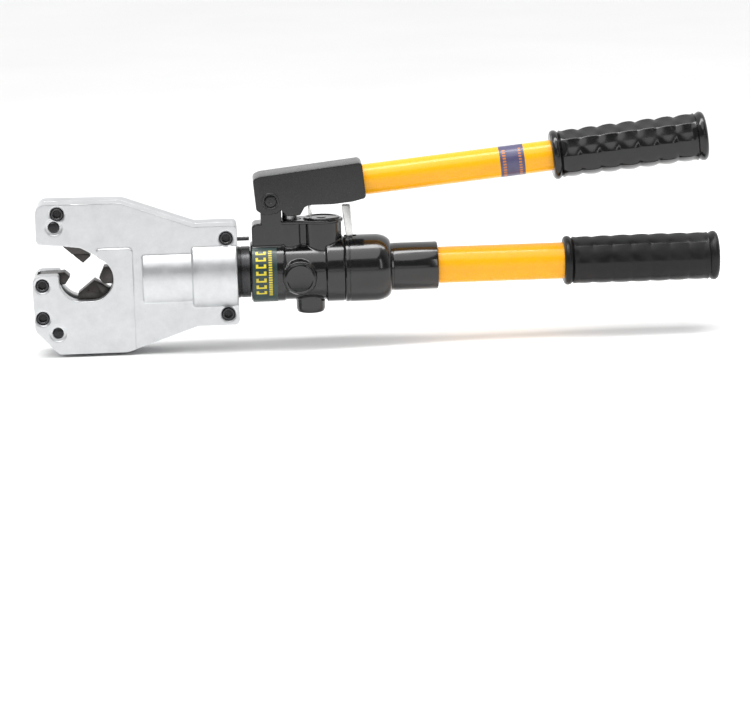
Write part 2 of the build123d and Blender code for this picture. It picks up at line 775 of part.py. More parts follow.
def grip(front, length, bore):
    """Moulded grip about X, with a rolled flange at each end and a closed back."""
    back = front + length
    with BuildPart() as sleeve:
        with BuildSketch(Plane.XZ):
            with BuildLine():
                Line((front, bore), (front, grip_flange_radius - 1.5))
                ThreePointArc(
                    (front, grip_flange_radius - 1.5), (front + 3.0, grip_flange_radius),
                    (front + 6.5, grip_radius - 1.2),
                )
                ThreePointArc(
                    (front + 6.5, grip_radius - 1.2), ((front + back) / 2, grip_radius + 0.8),
                    (back - 8.0, grip_radius - 0.8),
                )
                ThreePointArc(
                    (back - 8.0, grip_radius - 0.8), (back - 4.0, grip_flange_radius),
                    (back, grip_flange_radius - 3.0),
                )
                Line((back, grip_flange_radius - 3.0), (back, 0))
                Line((back, 0), (back - grip_end_wall, 0))
                Line((back - grip_end_wall, 0), (back - grip_end_wall, bore))
                Line((back - grip_end_wall, bore), (front, bore))
            make_face()
        revolve(axis=Axis.X)
    return sleeve.part


finish(grip(x_grip, grip_length, lower_tube_radius + running), "lower_grip")

# ---- Pumping handle, drawn level about its pivot and then tilted ------------------------------
handle_tilt = Location((pivot_x, 0, pivot_height), (0, -handle_angle, 0))
channel_half = bracket_half_width - bracket_cheek
channel_end = 34.0
bore_start = channel_end + 3.0
cam_start = 58.0
cam_width = 7.0


def tilted(part):
    """A piece of the pumping handle, moved from its pivot's frame into the tool's."""
    return handle_tilt * part


link_place = (
    link_arm * math.cos(math.radians(handle_angle)) - link_drop * math.sin(math.radians(handle_angle)),
    -link_arm * math.sin(math.radians(handle_angle)) - link_drop * math.cos(math.radians(handle_angle)),
)
with BuildPart() as bracket:
    with BuildSketch(Plane.XZ.offset(-bracket_half_width)):
        with BuildLine():
            Polyline(
                (-12.2, bracket_over - 2.8), (-12.4, -6.0), (-6.5, -10.9), (4.0, -10.6), (7.6, -8.0),
                (link_arm - 6.4, -10.4), (link_arm - 3.5, -14.2), (link_arm + 7.3, -14.5),
                (link_arm + 11.6, -8.4), (link_arm + 15.7, bracket_under + 1.8),
                (49.5, bracket_under), (66.0, bracket_under), (bracket_length, bracket_under + 1.6),
                (bracket_length, bracket_over), (-6.0, bracket_over - 1.0), close=True,
            )
        make_face()
    extrude(amount=2 * bracket_half_width)
    with BuildSketch(Plane.XZ.offset(-channel_half)):
        with BuildLine():
            Polyline(
                (-20.0, -20.0), (-20.0, 13.0), (channel_end, 13.0), (channel_end, -20.0), close=True,
            )
        make_face()
    extrude(amount=2 * channel_half, mode=Mode.SUBTRACT)
    with BuildSketch(Plane.YZ.offset(bore_start)):
        with Locations((0, tube_above_pivot)):
            Circle(upper_tube_radius + running)
    extrude(amount=bracket_length - bore_start, mode=Mode.SUBTRACT)
    with BuildSketch(Plane.YZ.offset(cam_start)):
        with Locations((0, tube_above_pivot)):
            Circle(cam_radius + loose)
    extrude(amount=cam_width, mode=Mode.SUBTRACT)
    with BuildSketch(Plane.XZ.offset(-bracket_half_width)):
        Circle(pivot_radius + running)
        with Locations(link_place):
            Circle(link_radius + running)
    extrude(amount=2 * bracket_half_width, mode=Mode.SUBTRACT)
finish(tilted(bracket.part), "handle_bracket")

with BuildPart() as pivot_pin:
    with BuildSketch(Plane.XZ.offset(-bracket_half_width)):
        Circle(pivot_radius)
    extrude(amount=2 * bracket_half_width)
    chamfer(pivot_pin.edges().filter_by(GeomType.CIRCLE), length=0.6)
finish(tilted(pivot_pin.part), "pivot_pin")

with BuildPart() as link_pin:
    with BuildSketch(Plane.XZ.offset(-bracket_half_width + 0.5)):
        with Locations(link_place):
            Circle(link_radius)
    extrude(amount=2 * bracket_half_width - 1.0)
finish(tilted(link_pin.part), "link_pin")

# The tube turns in the bracket with its cam and grip, to open the release valve
tube_start = bore_start + 1.0
tube_length = bracket_length + upper_tube_exposed + upper_grip_length - grip_end_wall - tube_start
with BuildPart() as upper_tube:
    with BuildSketch(Plane.YZ.offset(tube_start)):
        with Locations((0, tube_above_pivot)):
            Circle(upper_tube_radius)
            Circle(upper_tube_radius - tube_wall, mode=Mode.SUBTRACT)
    extrude(amount=tube_length)
finish(tilted(upper_tube.part), "upper_tube")

with BuildPart() as release_cam:
    with BuildSketch(Plane.YZ.offset(cam_start + loose)):
        with Locations((0, tube_above_pivot)):
            Circle(cam_radius)
            Circle(upper_tube_radius, mode=Mode.SUBTRACT)
        with Locations((-cam_radius, tube_above_pivot)):
            Rectangle(2 * cam_radius, 12.0, mode=Mode.INTERSECT)
    extrude(amount=cam_width - 2 * loose)
finish(tilted(release_cam.part), "release_cam")

upper_grip_front = bracket_length + upper_tube_exposed
upper_grip = grip(upper_grip_front, upper_grip_length, upper_tube_radius + running)
finish(tilted(Location((0, 0, tube_above_pivot)) * upper_grip), "upper_grip")

sticker_start = bracket_length + 112.0
with BuildPart() as sticker_band:
    with BuildSketch(Plane.YZ.offset(sticker_start)):
        with Locations((0, tube_above_pivot)):
            Circle(upper_tube_radius + label_thickness)
            Circle(upper_tube_radius, mode=Mode.SUBTRACT)
        with Locations((-upper_tube_radius, tube_above_pivot)):
            Rectangle(2 * upper_tube_radius, 2 * upper_tube_radius + 2, mode=Mode.INTERSECT)
    extrude(amount=label_width)
finish(tilted(sticker_band.part), "sticker_band")

# ---- Plunger, slotted for the link pin --------------------------------------------------------
link_height = pivot_height - link_drop
with BuildPart() as plunger:
    with BuildSketch(Plane.XY.offset(plunger_bottom + 4.0)):
        with Locations((plunger_x, 0)):
            Circle(plunger_radius)
    extrude(amount=link_height + 4.5 - plunger_bottom - 4.0)
    with BuildSketch(Plane.XZ.offset(-plunger_radius)):
        with Locations((plunger_x, link_height)):
            Rectangle(2 * plunger_radius, 9.0)
    extrude(amount=2 * plunger_radius)
    with BuildSketch(Plane.XZ.offset(-plunger_radius)):
        with Locations((plunger_x, link_height)):
            SlotOverall(2 * link_radius + 4.2, 2 * (link_radius + loose))
    extrude(amount=2 * plunger_radius, mode=Mode.SUBTRACT)
finish(plunger.part, "plunger")

# ---- Release lever ----------------------------------------------------------------------------
release_top = 53.0
release_bottom = 22.0
with BuildPart() as release_lever:
    with BuildSketch(Plane.XZ.offset(-3.0)):
        add(polygon([
            (release_x - 2.6, release_bottom), (release_x - 6.3, release_top),
            (release_x + 1.0, release_top), (release_x + 2.6, release_bottom),
        ]))
    extrude(amount=6.0)
finish(release_lever.part, "release_lever")

with BuildPart() as release_spring:
    with BuildLine() as lift_coil:
        Helix(1.6, release_bottom - release_floor - 1.6, 2.6, (release_x, 0, release_floor + 0.8))
    with BuildSketch(Plane(origin=lift_coil.line @ 0, z_dir=lift_coil.line % 0)):
        Circle(0.5)
    sweep()
finish(release_spring.part, "release_spring")
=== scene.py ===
import json
import math

import bpy
from mathutils import Matrix, Vector


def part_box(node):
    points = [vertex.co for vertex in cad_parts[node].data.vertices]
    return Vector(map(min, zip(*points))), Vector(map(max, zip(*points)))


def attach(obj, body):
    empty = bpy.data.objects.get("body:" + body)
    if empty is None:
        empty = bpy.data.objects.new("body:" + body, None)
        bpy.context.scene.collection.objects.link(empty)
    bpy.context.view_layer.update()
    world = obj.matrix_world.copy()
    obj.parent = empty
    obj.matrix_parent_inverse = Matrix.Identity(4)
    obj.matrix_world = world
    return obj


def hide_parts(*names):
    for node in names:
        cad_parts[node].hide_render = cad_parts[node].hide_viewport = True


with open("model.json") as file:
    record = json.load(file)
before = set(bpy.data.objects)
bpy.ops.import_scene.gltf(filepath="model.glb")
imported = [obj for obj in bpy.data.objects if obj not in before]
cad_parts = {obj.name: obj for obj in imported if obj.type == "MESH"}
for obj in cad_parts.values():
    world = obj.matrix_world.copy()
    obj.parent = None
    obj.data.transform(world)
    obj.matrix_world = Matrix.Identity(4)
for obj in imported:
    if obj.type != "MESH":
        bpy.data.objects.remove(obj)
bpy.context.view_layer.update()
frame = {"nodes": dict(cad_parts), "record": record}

bl_info = {
    "name": "Hydraulic crimping tool",
    "version": (1, 0, 0),
    "blender": (4, 5, 0),
    "location": "View3D > Sidebar > Crimping tool",
    "description": "Builds the head, pump, handles and finishes of a hand-pumped crimping tool",
    "category": "Object",
}

MM = 0.001


def middle_of(node, axis):
    """Middle of a frame node along one axis, in millimetres."""
    low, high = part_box(node)
    return (low[axis] + high[axis]) / 2 / MM


# Places read from the frame, in millimetres
HEAD_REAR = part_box("head_cover_front")[1][0] / MM
RING_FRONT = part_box("pump_body")[0][0] / MM
BELL_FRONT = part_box("rear_bell")[0][0] / MM
TUBE_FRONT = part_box("rear_bell")[1][0] / MM
GRIP_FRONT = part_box("lower_grip")[0][0] / MM
GRIP_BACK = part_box("lower_grip")[1][0] / MM
LOWER_TUBE = (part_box("lower_tube")[1][2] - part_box("lower_tube")[0][2]) / 2 / MM
PIVOT = [middle_of("pivot_pin", axis) for axis in range(3)]
PLUNGER_X = middle_of("plunger", 0)
RESERVOIR_X = middle_of("reservoir_cap", 0)
KNOB_X = middle_of("valve_cap", 0)
KNOB_Z = middle_of("valve_cap", 2)
STUB_X = middle_of("bottom_plug", 0)

# Sizes of the head: along it they're measured from its rear face
HALF_DEPTH = 20.0
HEAD_LIFT = 1.6             # the jaws lie this far above the cylinder's axis
PANEL_STEP = 0.9            # the front cover's raised panel over the rest of its face
PANEL_EDGE = -85.4
PANEL_TOP = 26.0
THROAT_LEFT = -127.6        # centres of the throat's two round ends
THROAT_RIGHT = -119.5
THROAT_RADIUS = 18.0
WALL = 5.0

RELEASE_BEHIND = 5.2        # the release lever's foot behind the bell's front face

# Sizes of the pumping handle, measured along it from its pivot
HANDLE_TILT = math.radians(5.43)
TUBE_RISE = 5.6             # the upper tube's axis above the pivot, square to the tube
UPPER_TUBE = 12.5
BRACKET_BACK = 77.5
UPPER_GRIP_FRONT = BRACKET_BACK + 155.0
UPPER_GRIP_BACK = UPPER_GRIP_FRONT + 128.0


# ---- Shaping helpers ----

def alone(piece):
    """Select this piece and nothing else."""
    bpy.ops.object.select_all(action="DESELECT")
    piece.select_set(True)
    bpy.context.view_layer.objects.active = piece


def named(name):
    """Name the object that an operator has just added."""
    piece = bpy.context.active_object
    piece.name = name
    piece.data.name = name
    return piece


def fresh():
    """Deselect everything, so that an operator acts on its own object only."""
    bpy.ops.object.select_all(action="DESELECT")


def settle(piece):
    """Put the object's place and turn into its mesh."""
    alone(piece)
    bpy.ops.object.transform_apply(location=True, rotation=True, scale=True)


def edited(piece, *steps):
    """Run mesh operators in edit mode, each on everything."""
    alone(piece)
    bpy.ops.object.mode_set(mode="EDIT")
    for step, values in steps:
        bpy.ops.mesh.select_all(action="SELECT")
        step(**values)
    bpy.ops.object.mode_set(mode="OBJECT")


def modify(piece, kind, **values):
    """Add a modifier and apply it."""
    alone(piece)
    modifier = piece.modifiers.new(kind.title(), kind)
    for key, value in values.items():
        setattr(modifier, key, value)
    bpy.ops.object.modifier_apply(modifier=modifier.name)


def cut(piece, tool, operation="DIFFERENCE"):
    """Boolean with another piece, which is used up."""
    modify(piece, "BOOLEAN", operation=operation, solver="EXACT", object=tool)
    bpy.data.objects.remove(tool)


def soften(piece, width, segments=3, angle=32.0):
    """Round every sharp edge."""
    modify(
        piece, "BEVEL", width=width * MM, segments=segments, limit_method="ANGLE",
        angle_limit=math.radians(angle), harden_normals=False, use_clamp_overlap=True,
    )


def shade(piece, angle=32.0):
    """Smooth shading with creases at sharp edges."""
    alone(piece)
    bpy.ops.object.shade_smooth_by_angle(angle=math.radians(angle))


def finished(piece, body, slot, *nodes, angle=32.0, material=None):
    """Place, shade and hand over a piece to the body that it moves with."""
    settle(piece)
    shade(piece, angle)
    piece.data.materials.clear()
    piece.data.materials.append(material or finish_of(slot))
    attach(piece, body)
    if nodes:
        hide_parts(*nodes)
    return piece


def rounded(corners, steps=6):
    """Points of a closed outline from (across, up, corner radius)."""
    points = []
    count = len(corners)
    for index, (x, z, radius) in enumerate(corners):
        here = Vector((x, z))
        before = Vector(corners[index - 1][:2]) - here
        after = Vector(corners[(index + 1) % count][:2]) - here
        if radius <= 0:
            points.append((x, z))
            continue
        half = before.angle(after) / 2
        reach = min(radius / math.tan(half), 0.48 * before.length, 0.48 * after.length)
        centre = here + (before.normalized() + after.normalized()).normalized() * (
            reach / math.cos(half))
        start = here + before.normalized() * reach - centre
        end = here + after.normalized() * reach - centre
        for step in range(steps + 1):
            turned = start.lerp(end, step / steps)
            points.append(tuple(centre + turned.normalized() * start.length))
    return points


def arc(centre, radius, start, end, steps=16):
    """Points along an arc, angles in degrees from +across towards +up."""
    points = []
    for step in range(steps + 1):
        turn = math.radians(start + (end - start) * step / steps)
        points.append((centre[0] + radius * math.cos(turn), centre[1] + radius * math.sin(turn)))
    return points


OUTWARDS = (bpy.ops.mesh.normals_make_consistent, {"inside": False})


def plate(name, points, start, end, plane="XZ"):
    """A flat piece from a closed outline of the side view, extruded from start to end."""
    fresh()
    bpy.ops.mesh.primitive_circle_add(vertices=len(points), radius=MM, fill_type="NGON")
    piece = named(name)
    for vertex, (across, up) in zip(piece.data.vertices, points):
        if plane == "XZ":
            vertex.co = (across * MM, start * MM, up * MM)
        elif plane == "YZ":
            vertex.co = (start * MM, across * MM, up * MM)
        else:
            vertex.co = (across * MM, up * MM, start * MM)
    reach = (end - start) * MM
    move = {"XZ": (0, reach, 0), "YZ": (reach, 0, 0), "XY": (0, 0, reach)}[plane]
    edited(piece, (bpy.ops.mesh.extrude_region_move, {"TRANSFORM_OT_translate": {"value": move}}),
           OUTWARDS)
    return piece


def round_face(piece, level, width, segments=4, axis=1):
    """Round the edges that lie on one flat face of the piece."""
    alone(piece)
    bpy.ops.object.mode_set(mode="EDIT")
    bpy.ops.mesh.select_mode(type="EDGE")
    bpy.ops.mesh.select_all(action="DESELECT")
    bpy.ops.object.mode_set(mode="OBJECT")
    mesh = piece.data
    for edge in mesh.edges:
        places = [mesh.vertices[v].co[axis] for v in edge.vertices]
        edge.select = all(abs(place - level * MM) < 1e-6 for place in places)
    bpy.ops.object.mode_set(mode="EDIT")
    bpy.ops.mesh.bevel(offset=width * MM, segments=segments, profile=0.5, affect="EDGES",
                       clamp_overlap=True)
    bpy.ops.object.mode_set(mode="OBJECT")


def turned(name, profile, centre=(0, 0, 0), axis="X", sides=96):
    """A turned piece from (along, radius) points, closed on the axis or as a ring."""
    fresh()
    bpy.ops.mesh.primitive_circle_add(vertices=len(profile), radius=MM, fill_type="NOTHING")
    piece = named(name)
    ways = {"X": ((1, 0, 0), (0, 0, 1)), "Y": ((0, 1, 0), (0, 0, 1)), "Z": ((0, 0, 1), (1, 0, 0))}
    along, out = (Vector(way) for way in ways[axis])
    for vertex, (reach, radius) in zip(piece.data.vertices, profile):
        vertex.co = (Vector(centre) + along * reach + out * radius) * MM
    edited(
        piece,
        (bpy.ops.mesh.spin, {
            "steps": sides, "angle": 2 * math.pi, "center": Vector(centre) * MM, "axis": along}),
        (bpy.ops.mesh.remove_doubles, {"threshold": 0.001 * MM}), OUTWARDS,
        (bpy.ops.mesh.delete_loose, {"use_verts": True, "use_edges": True, "use_faces": False}),
        OUTWARDS)
    return piece


def moved(start, points):
    """Points of a section, moved along from a place."""
    return [(start + along, radius) for along, radius in points]


def joined(name, pieces):
    """Several pieces as one object, kept as separate shells."""
    fresh()
    for piece in pieces:
        piece.select_set(True)
    bpy.context.view_layer.objects.active = pieces[0]
    bpy.ops.object.join()
    return named(name)


def onto_handle(piece):
    """Move a piece drawn level about the origin onto the tilted pumping handle."""
    piece.matrix_world = (
        Matrix.Translation(Vector(PIVOT) * MM) @ Matrix.Rotation(-HANDLE_TILT, 4, "Y")
        @ piece.matrix_world)
    settle(piece)
    return piece


def cast(piece, voxel, passes=6, keep=0.35):
    """Melt joined solids into one casting with filleted corners."""
    modify(piece, "REMESH", mode="VOXEL", voxel_size=voxel, adaptivity=0.0)
    modify(piece, "SMOOTH", factor=0.5, iterations=passes)
    modify(piece, "DECIMATE", ratio=keep)


# ---- Finishes ----

def finish_nodes(name):
    """A new material with its shader, node tree helpers and Object coordinates."""
    material = bpy.data.materials.new(name)
    material.use_nodes = True
    tree = material.node_tree
    shader = tree.nodes["Principled BSDF"]
    coords = tree.nodes.new("ShaderNodeTexCoord")
    return material, tree, shader, coords


def noise(tree, coords, scale, detail=4.0, rough=0.5, stretch=None):
    """Noise on Object coordinates; stretch scales the coordinates first."""
    source = coords.outputs["Object"]
    if stretch:
        mapping = tree.nodes.new("ShaderNodeMapping")
        mapping.inputs["Scale"].default_value = stretch
        tree.links.new(source, mapping.inputs["Vector"])
        source = mapping.outputs["Vector"]
    texture = tree.nodes.new("ShaderNodeTexNoise")
    texture.inputs["Scale"].default_value = scale
    texture.inputs["Detail"].default_value = detail
    texture.inputs["Roughness"].default_value = rough
    tree.links.new(source, texture.inputs["Vector"])
    return texture.outputs["Fac"]


def ramp(tree, value, low, high, start=0.3, end=0.7):
    """A colour ramp between two colours or two numbers."""
    node = tree.nodes.new("ShaderNodeValToRGB")
    node.color_ramp.elements[0].position = start
    node.color_ramp.elements[1].position = end
    for element, colour in zip(node.color_ramp.elements, (low, high)):
        if isinstance(colour, float):
            colour = (colour, colour, colour)
        element.color = (*colour[:3], 1.0)
    tree.links.new(value, node.inputs["Fac"])
    return node.outputs["Color"]


def bump(tree, shader, heights):
    """Chain of bumps from (height, distance in millimetres, strength)."""
    last = None
    for height, distance, strength in heights:
        node = tree.nodes.new("ShaderNodeBump")
        node.inputs["Distance"].default_value = distance * MM
        node.inputs["Strength"].default_value = strength
        tree.links.new(height, node.inputs["Height"])
        if last:
            tree.links.new(last, node.inputs["Normal"])
        last = node.outputs["Normal"]
    tree.links.new(last, shader.inputs["Normal"])


def edge_mask(tree, low, high):
    """White on worn convex edges, from the surface's pointiness."""
    geometry = tree.nodes.new("ShaderNodeNewGeometry")
    return ramp(tree, geometry.outputs["Pointiness"], 0.0, 1.0, low, high)


def blend_colours(tree, factor, first, second):
    """Mix two colours or links by a factor."""
    node = tree.nodes.new("ShaderNodeMix")
    node.data_type = "RGBA"
    for index, value in ((0, factor), (6, first), (7, second)):
        socket = node.inputs[index]
        if isinstance(value, bpy.types.NodeSocket):
            tree.links.new(value, socket)
        elif isinstance(value, float):
            socket.default_value = value
        else:
            socket.default_value = (*value[:3], 1.0)
    return node.outputs[2]


def steel(name, colour, rough, grain=900.0, stretch=(1.0, 1.0, 1.0), depth=0.02, metal=0.9):
    """Machined or ground steel with fine directional marks, oil stains and rubbed edges."""
    material, tree, shader, coords = finish_nodes(name)
    marks = noise(tree, coords, grain, 3.0, 0.65, stretch)
    stains = noise(tree, coords, 55.0, 5.0, 0.6)
    dark = tuple(part * 0.72 for part in colour)
    light = tuple(min(1.0, part * 1.35 + 0.02) for part in colour)
    worn = edge_mask(tree, 0.52, 0.58)
    body = ramp(tree, stains, dark, colour, 0.35, 0.65)
    tree.links.new(blend_colours(tree, worn, body, light), shader.inputs["Base Color"])
    tree.links.new(
        ramp(tree, marks, max(0.08, rough - 0.12), rough + 0.12, 0.3, 0.7),
        shader.inputs["Roughness"])
    shader.inputs["Metallic"].default_value = metal
    bump(tree, shader, ((marks, depth, 0.6), (stains, 0.03, 0.3)))
    return material


def cast_aluminium():
    """Bead-blasted aluminium: fine grain, faint casting waves and handling marks."""
    material, tree, shader, coords = finish_nodes("cast_aluminium")
    grain = noise(tree, coords, 2300.0, 2.0, 0.6)
    sand = noise(tree, coords, 850.0, 4.0, 0.6)
    waves = noise(tree, coords, 26.0, 3.0, 0.5)
    smudge = noise(tree, coords, 70.0, 6.0, 0.7)
    body = ramp(tree, smudge, (0.56, 0.57, 0.58), (0.68, 0.69, 0.70), 0.3, 0.7)
    specks = ramp(tree, sand, 0.0, 1.0, 0.66, 0.8)
    body = blend_colours(tree, specks, body, (0.5, 0.51, 0.52))
    worn = edge_mask(tree, 0.52, 0.6)
    tree.links.new(blend_colours(tree, worn, body, (0.86, 0.87, 0.88)), shader.inputs["Base Color"])
    tree.links.new(ramp(tree, smudge, 0.3, 0.46, 0.25, 0.75), shader.inputs["Roughness"])
    shader.inputs["Metallic"].default_value = 0.92
    bump(tree, shader, ((grain, 0.012, 0.5), (sand, 0.02, 0.4), (waves, 0.12, 0.25)))
    return material


def enamel(name, colour, shade_colour, rough, peel=0.03, coat=0.6, chips=0.72, shine=0.5):
    """Baked paint: orange peel, a clear top, faint dust and chips of primer at the edges."""
    material, tree, shader, coords = finish_nodes(name)
    skin = noise(tree, coords, 420.0, 2.0, 0.5)
    drift = noise(tree, coords, 34.0, 4.0, 0.55)
    dust = noise(tree, coords, 1500.0, 3.0, 0.7)
    body = ramp(tree, drift, shade_colour, colour, 0.35, 0.65)
    specks = ramp(tree, dust, 0.0, 0.35, chips, chips + 0.08)
    light = tuple(min(1.0, part * 1.15 + 0.05) for part in colour)
    body = blend_colours(tree, specks, body, light)
    worn = edge_mask(tree, 0.56, 0.66)
    rubbed = noise(tree, coords, 160.0, 5.0, 0.75)
    edge = blend_colours(tree, worn, body, light)
    tree.links.new(edge, shader.inputs["Base Color"])
    tree.links.new(ramp(tree, rubbed, rough, rough + 0.12, 0.35, 0.7), shader.inputs["Roughness"])
    shader.inputs["Coat Weight"].default_value = coat
    shader.inputs["Coat Roughness"].default_value = 0.06
    shader.inputs["Specular IOR Level"].default_value = shine
    bump(tree, shader, ((skin, peel, 0.35), (drift, 0.15, 0.15)))
    return material


def rubber(name, rough, bloom, shine=0.3):
    """Moulded rubber: fine pitted skin, mould bloom and scuffs."""
    material, tree, shader, coords = finish_nodes(name)
    pits = noise(tree, coords, 1900.0, 3.0, 0.65)
    cloud = noise(tree, coords, 48.0, 5.0, 0.6)
    scuffs = noise(tree, coords, 240.0, 4.0, 0.7, (0.25, 1.0, 1.0))
    body = ramp(tree, cloud, (0.004, 0.004, 0.0045), (0.009, 0.009, 0.0095), 0.3, 0.7)
    marks = ramp(tree, scuffs, 0.0, bloom, 0.62, 0.76)
    scuffed = blend_colours(tree, marks, body, (0.03, 0.03, 0.031))
    tree.links.new(scuffed, shader.inputs["Base Color"])
    sheen = ramp(tree, cloud, rough - 0.07, rough + 0.07, 0.3, 0.7)
    tree.links.new(sheen, shader.inputs["Roughness"])
    shader.inputs["Specular IOR Level"].default_value = shine
    bump(tree, shader, ((pits, 0.02, 0.5), (scuffs, 0.03, 0.25)))
    return material


def printed(name, colour, shade_colour, rough=0.35):
    """Printed film: flat ink with faint fibres, rubbed patches and a soft sheen."""
    material, tree, shader, coords = finish_nodes(name)
    fibres = noise(tree, coords, 1300.0, 4.0, 0.6)
    rubbed = noise(tree, coords, 130.0, 5.0, 0.7)
    body = ramp(tree, rubbed, shade_colour, colour, 0.3, 0.6)
    tree.links.new(body, shader.inputs["Base Color"])
    tree.links.new(ramp(tree, rubbed, rough + 0.12, rough, 0.3, 0.7), shader.inputs["Roughness"])
    shader.inputs["Coat Weight"].default_value = 0.3
    bump(tree, shader, ((fibres, 0.008, 0.4), (rubbed, 0.02, 0.2)))
    return material


FINISHES = {}


def finish_of(slot):
    """The material of one of the record's slots, made once."""
    if slot in FINISHES:
        return FINISHES[slot]
    paints = bpy.context.scene.crimp_colours
    makers = {
        "cast_aluminium": cast_aluminium,
        "black_enamel": lambda: enamel(
            slot, paints.castings, (0.004, 0.004, 0.0045), 0.12, 0.012, 0.35, shine=0.5),
        "black_steel": lambda: enamel(
            slot, paints.bracket, (0.005, 0.005, 0.0055), 0.22, 0.03, 0.15, shine=0.45),
        "hardened_steel": lambda: steel(
            slot, (0.042, 0.038, 0.036), 0.34, 700.0, (1.0, 1.0, 5.0), 0.03),
        "pin_steel": lambda: steel(slot, (0.035, 0.035, 0.037), 0.3, 1100.0, depth=0.012),
        "machined_steel": lambda: steel(
            slot, (0.42, 0.42, 0.43), 0.3, 800.0, (6.0, 1.0, 1.0), 0.02),
        "spring_steel": lambda: steel(slot, (0.2, 0.2, 0.21), 0.3, 1200.0, depth=0.01),
        "bright_zinc": lambda: steel(
            slot, (0.66, 0.66, 0.65), 0.26, 900.0, (1.0, 1.0, 4.0), 0.015),
        "yellow_enamel": lambda: enamel(
            slot, paints.tubes, (0.96, 0.42, 0.002), 0.22, 0.025, 0.15, 0.8, 0.35),
        "grip_rubber": lambda: rubber(slot, 0.34, 0.3),
        "seal_rubber": lambda: rubber(slot, 0.5, 0.2),
        "green_label": lambda: printed(slot, paints.band, (0.008, 0.028, 0.026)),
        "blue_label": lambda: printed(slot, paints.sticker, (0.06, 0.055, 0.13)),
    }
    FINISHES[slot] = makers[slot]()
    return FINISHES[slot]


# ---- Outlines of the side view ----

def in_head(points):
    """Points of the jaws, measured from the head's rear face, moved into the frame."""
    return [(HEAD_REAR + point[0], point[1] + HEAD_LIFT, *point[2:]) for point in points]


def head_outline():
    """The covers' side view with its rounded corners and the throat, running clockwise."""
    throat_left = (HEAD_REAR + THROAT_LEFT, HEAD_LIFT)
    throat_right = (HEAD_REAR + THROAT_RIGHT, HEAD_LIFT)
    points = rounded(in_head([
        (-145.3, 5.6, 0), (-162.9, 31.5, 7.5), (-162.7, 62.3, 7.5), (-93.7, 61.4, 14.0),
        (-35.0, 40.0, 12.0), (0.0, 40.0, 4.0), (0.0, -42.0, 4.0), (-34.0, -42.0, 12.0),
        (-91.7, -61.4, 14.0), (-147.5, -61.4, 7.0), (-166.5, -41.4, 8.0), (-167.5, 4.2, 7.0),
        (-145.2, 4.2, 0),
    ]))[1:-1]
    lip = rounded(in_head([(-152.0, 4.2, 0), (-145.2, 4.2, 2.2), (-145.6, -0.6, 0)]))[1:-1]
    left = arc(throat_left, THROAT_RADIUS, 182.0, 270.0, 20)
    right = arc(throat_right, THROAT_RADIUS, 270.0, 431.0, 30)
    jaw = rounded(in_head([
        (-113.8, 17.2, 0), (-112.8, 17.7, 0.6), (-127.3, 25.9, 5.0), (-142.1, 27.8, 20.0),
        (-162.9, 31.5, 0),
    ]))[1:-1]
    return points + lip + left + right + jaw


def panel_outline():
    """The raised field of the front cover: the hook, the throat's lower side and the slope."""
    outline = head_outline()
    edge_x = HEAD_REAR + PANEL_EDGE
    top = 24.4 + HEAD_LIFT
    notch = 17.7 + HEAD_LIFT
    kept = [(x, z) for x, z in outline if x < edge_x and z < notch + 0.05]
    corner = rounded([
        (HEAD_REAR - 112.9, notch, 0), (HEAD_REAR - 114.5, top, 2.0), (edge_x, top, 3.5),
        (edge_x, -59.6 + HEAD_LIFT, 0.6), (HEAD_REAR - 100.0, -61.4 + HEAD_LIFT, 0),
    ])[1:-1]
    first = next(i for i, (x, z) in enumerate(kept) if z < -50.0)
    ordered = kept[first:] + kept[:first]
    return ordered + corner


def space_outline():
    """The space for the mechanism inside the covers, one wall in from their edge."""
    left = arc((HEAD_REAR + THROAT_LEFT, HEAD_LIFT), THROAT_RADIUS + WALL, 184.0, 270.0, 20)
    right = arc((HEAD_REAR + THROAT_RIGHT, HEAD_LIFT), THROAT_RADIUS + WALL, 270.0, 420.0, 30)
    return in_head([
        (-158.0, 35.5), (-157.8, 57.2), (-94.6, 56.4), (-35.9, 35.0), (-5.0, 35.0),
        (-5.0, -35.0), (-34.9, -35.0), (-92.6, -56.4), (-145.4, -56.4), (-161.6, -39.3),
        (-162.4, -0.8), (-150.8, -0.8),
    ]) + left + right + in_head([(-110.3, 21.9), (-125.6, 30.7), (-142.7, 32.8)])


# ---- Head ----

SCREWS = in_head([(-145.0, 54.0), (-159.2, -4.2), (-159.8, -31.0)])
SCREWS += [(HEAD_REAR - 9.2, 31.2), (HEAD_REAR - 9.2, -31.2)]
PINS = in_head([(-148.0, 43.5), (-148.0, -43.5)])


def bulge(name, start, length, radius, side):
    """Half-round swelling over the cylinder, with a softly rounded front shoulder."""
    piece = turned(name, moved(start, [
        (0, 0), (0, radius - 1.2), (0.4, radius - 0.4), (1.2, radius),
        (length - 1.2, radius), (length - 0.4, radius - 0.4), (length, radius - 1.2), (length, 0),
    ]))
    fresh()
    bpy.ops.mesh.primitive_cube_add(
        size=1.0, location=((start + length / 2) * MM, -side * 40.0 * MM, 0),
        scale=((length + 10.0) * MM, 80.0 * MM, 80.0 * MM))
    half = named(name + "_half")
    settle(half)
    cut(piece, half)
    piece.scale.z = 1.075
    settle(piece)
    return piece


def face_level(place):
    """Depth of the front face round a fastener: the panel stands proud of the rest."""
    x, z = place
    return -HALF_DEPTH if x < HEAD_REAR + PANEL_EDGE and z < PANEL_TOP else -HALF_DEPTH + PANEL_STEP


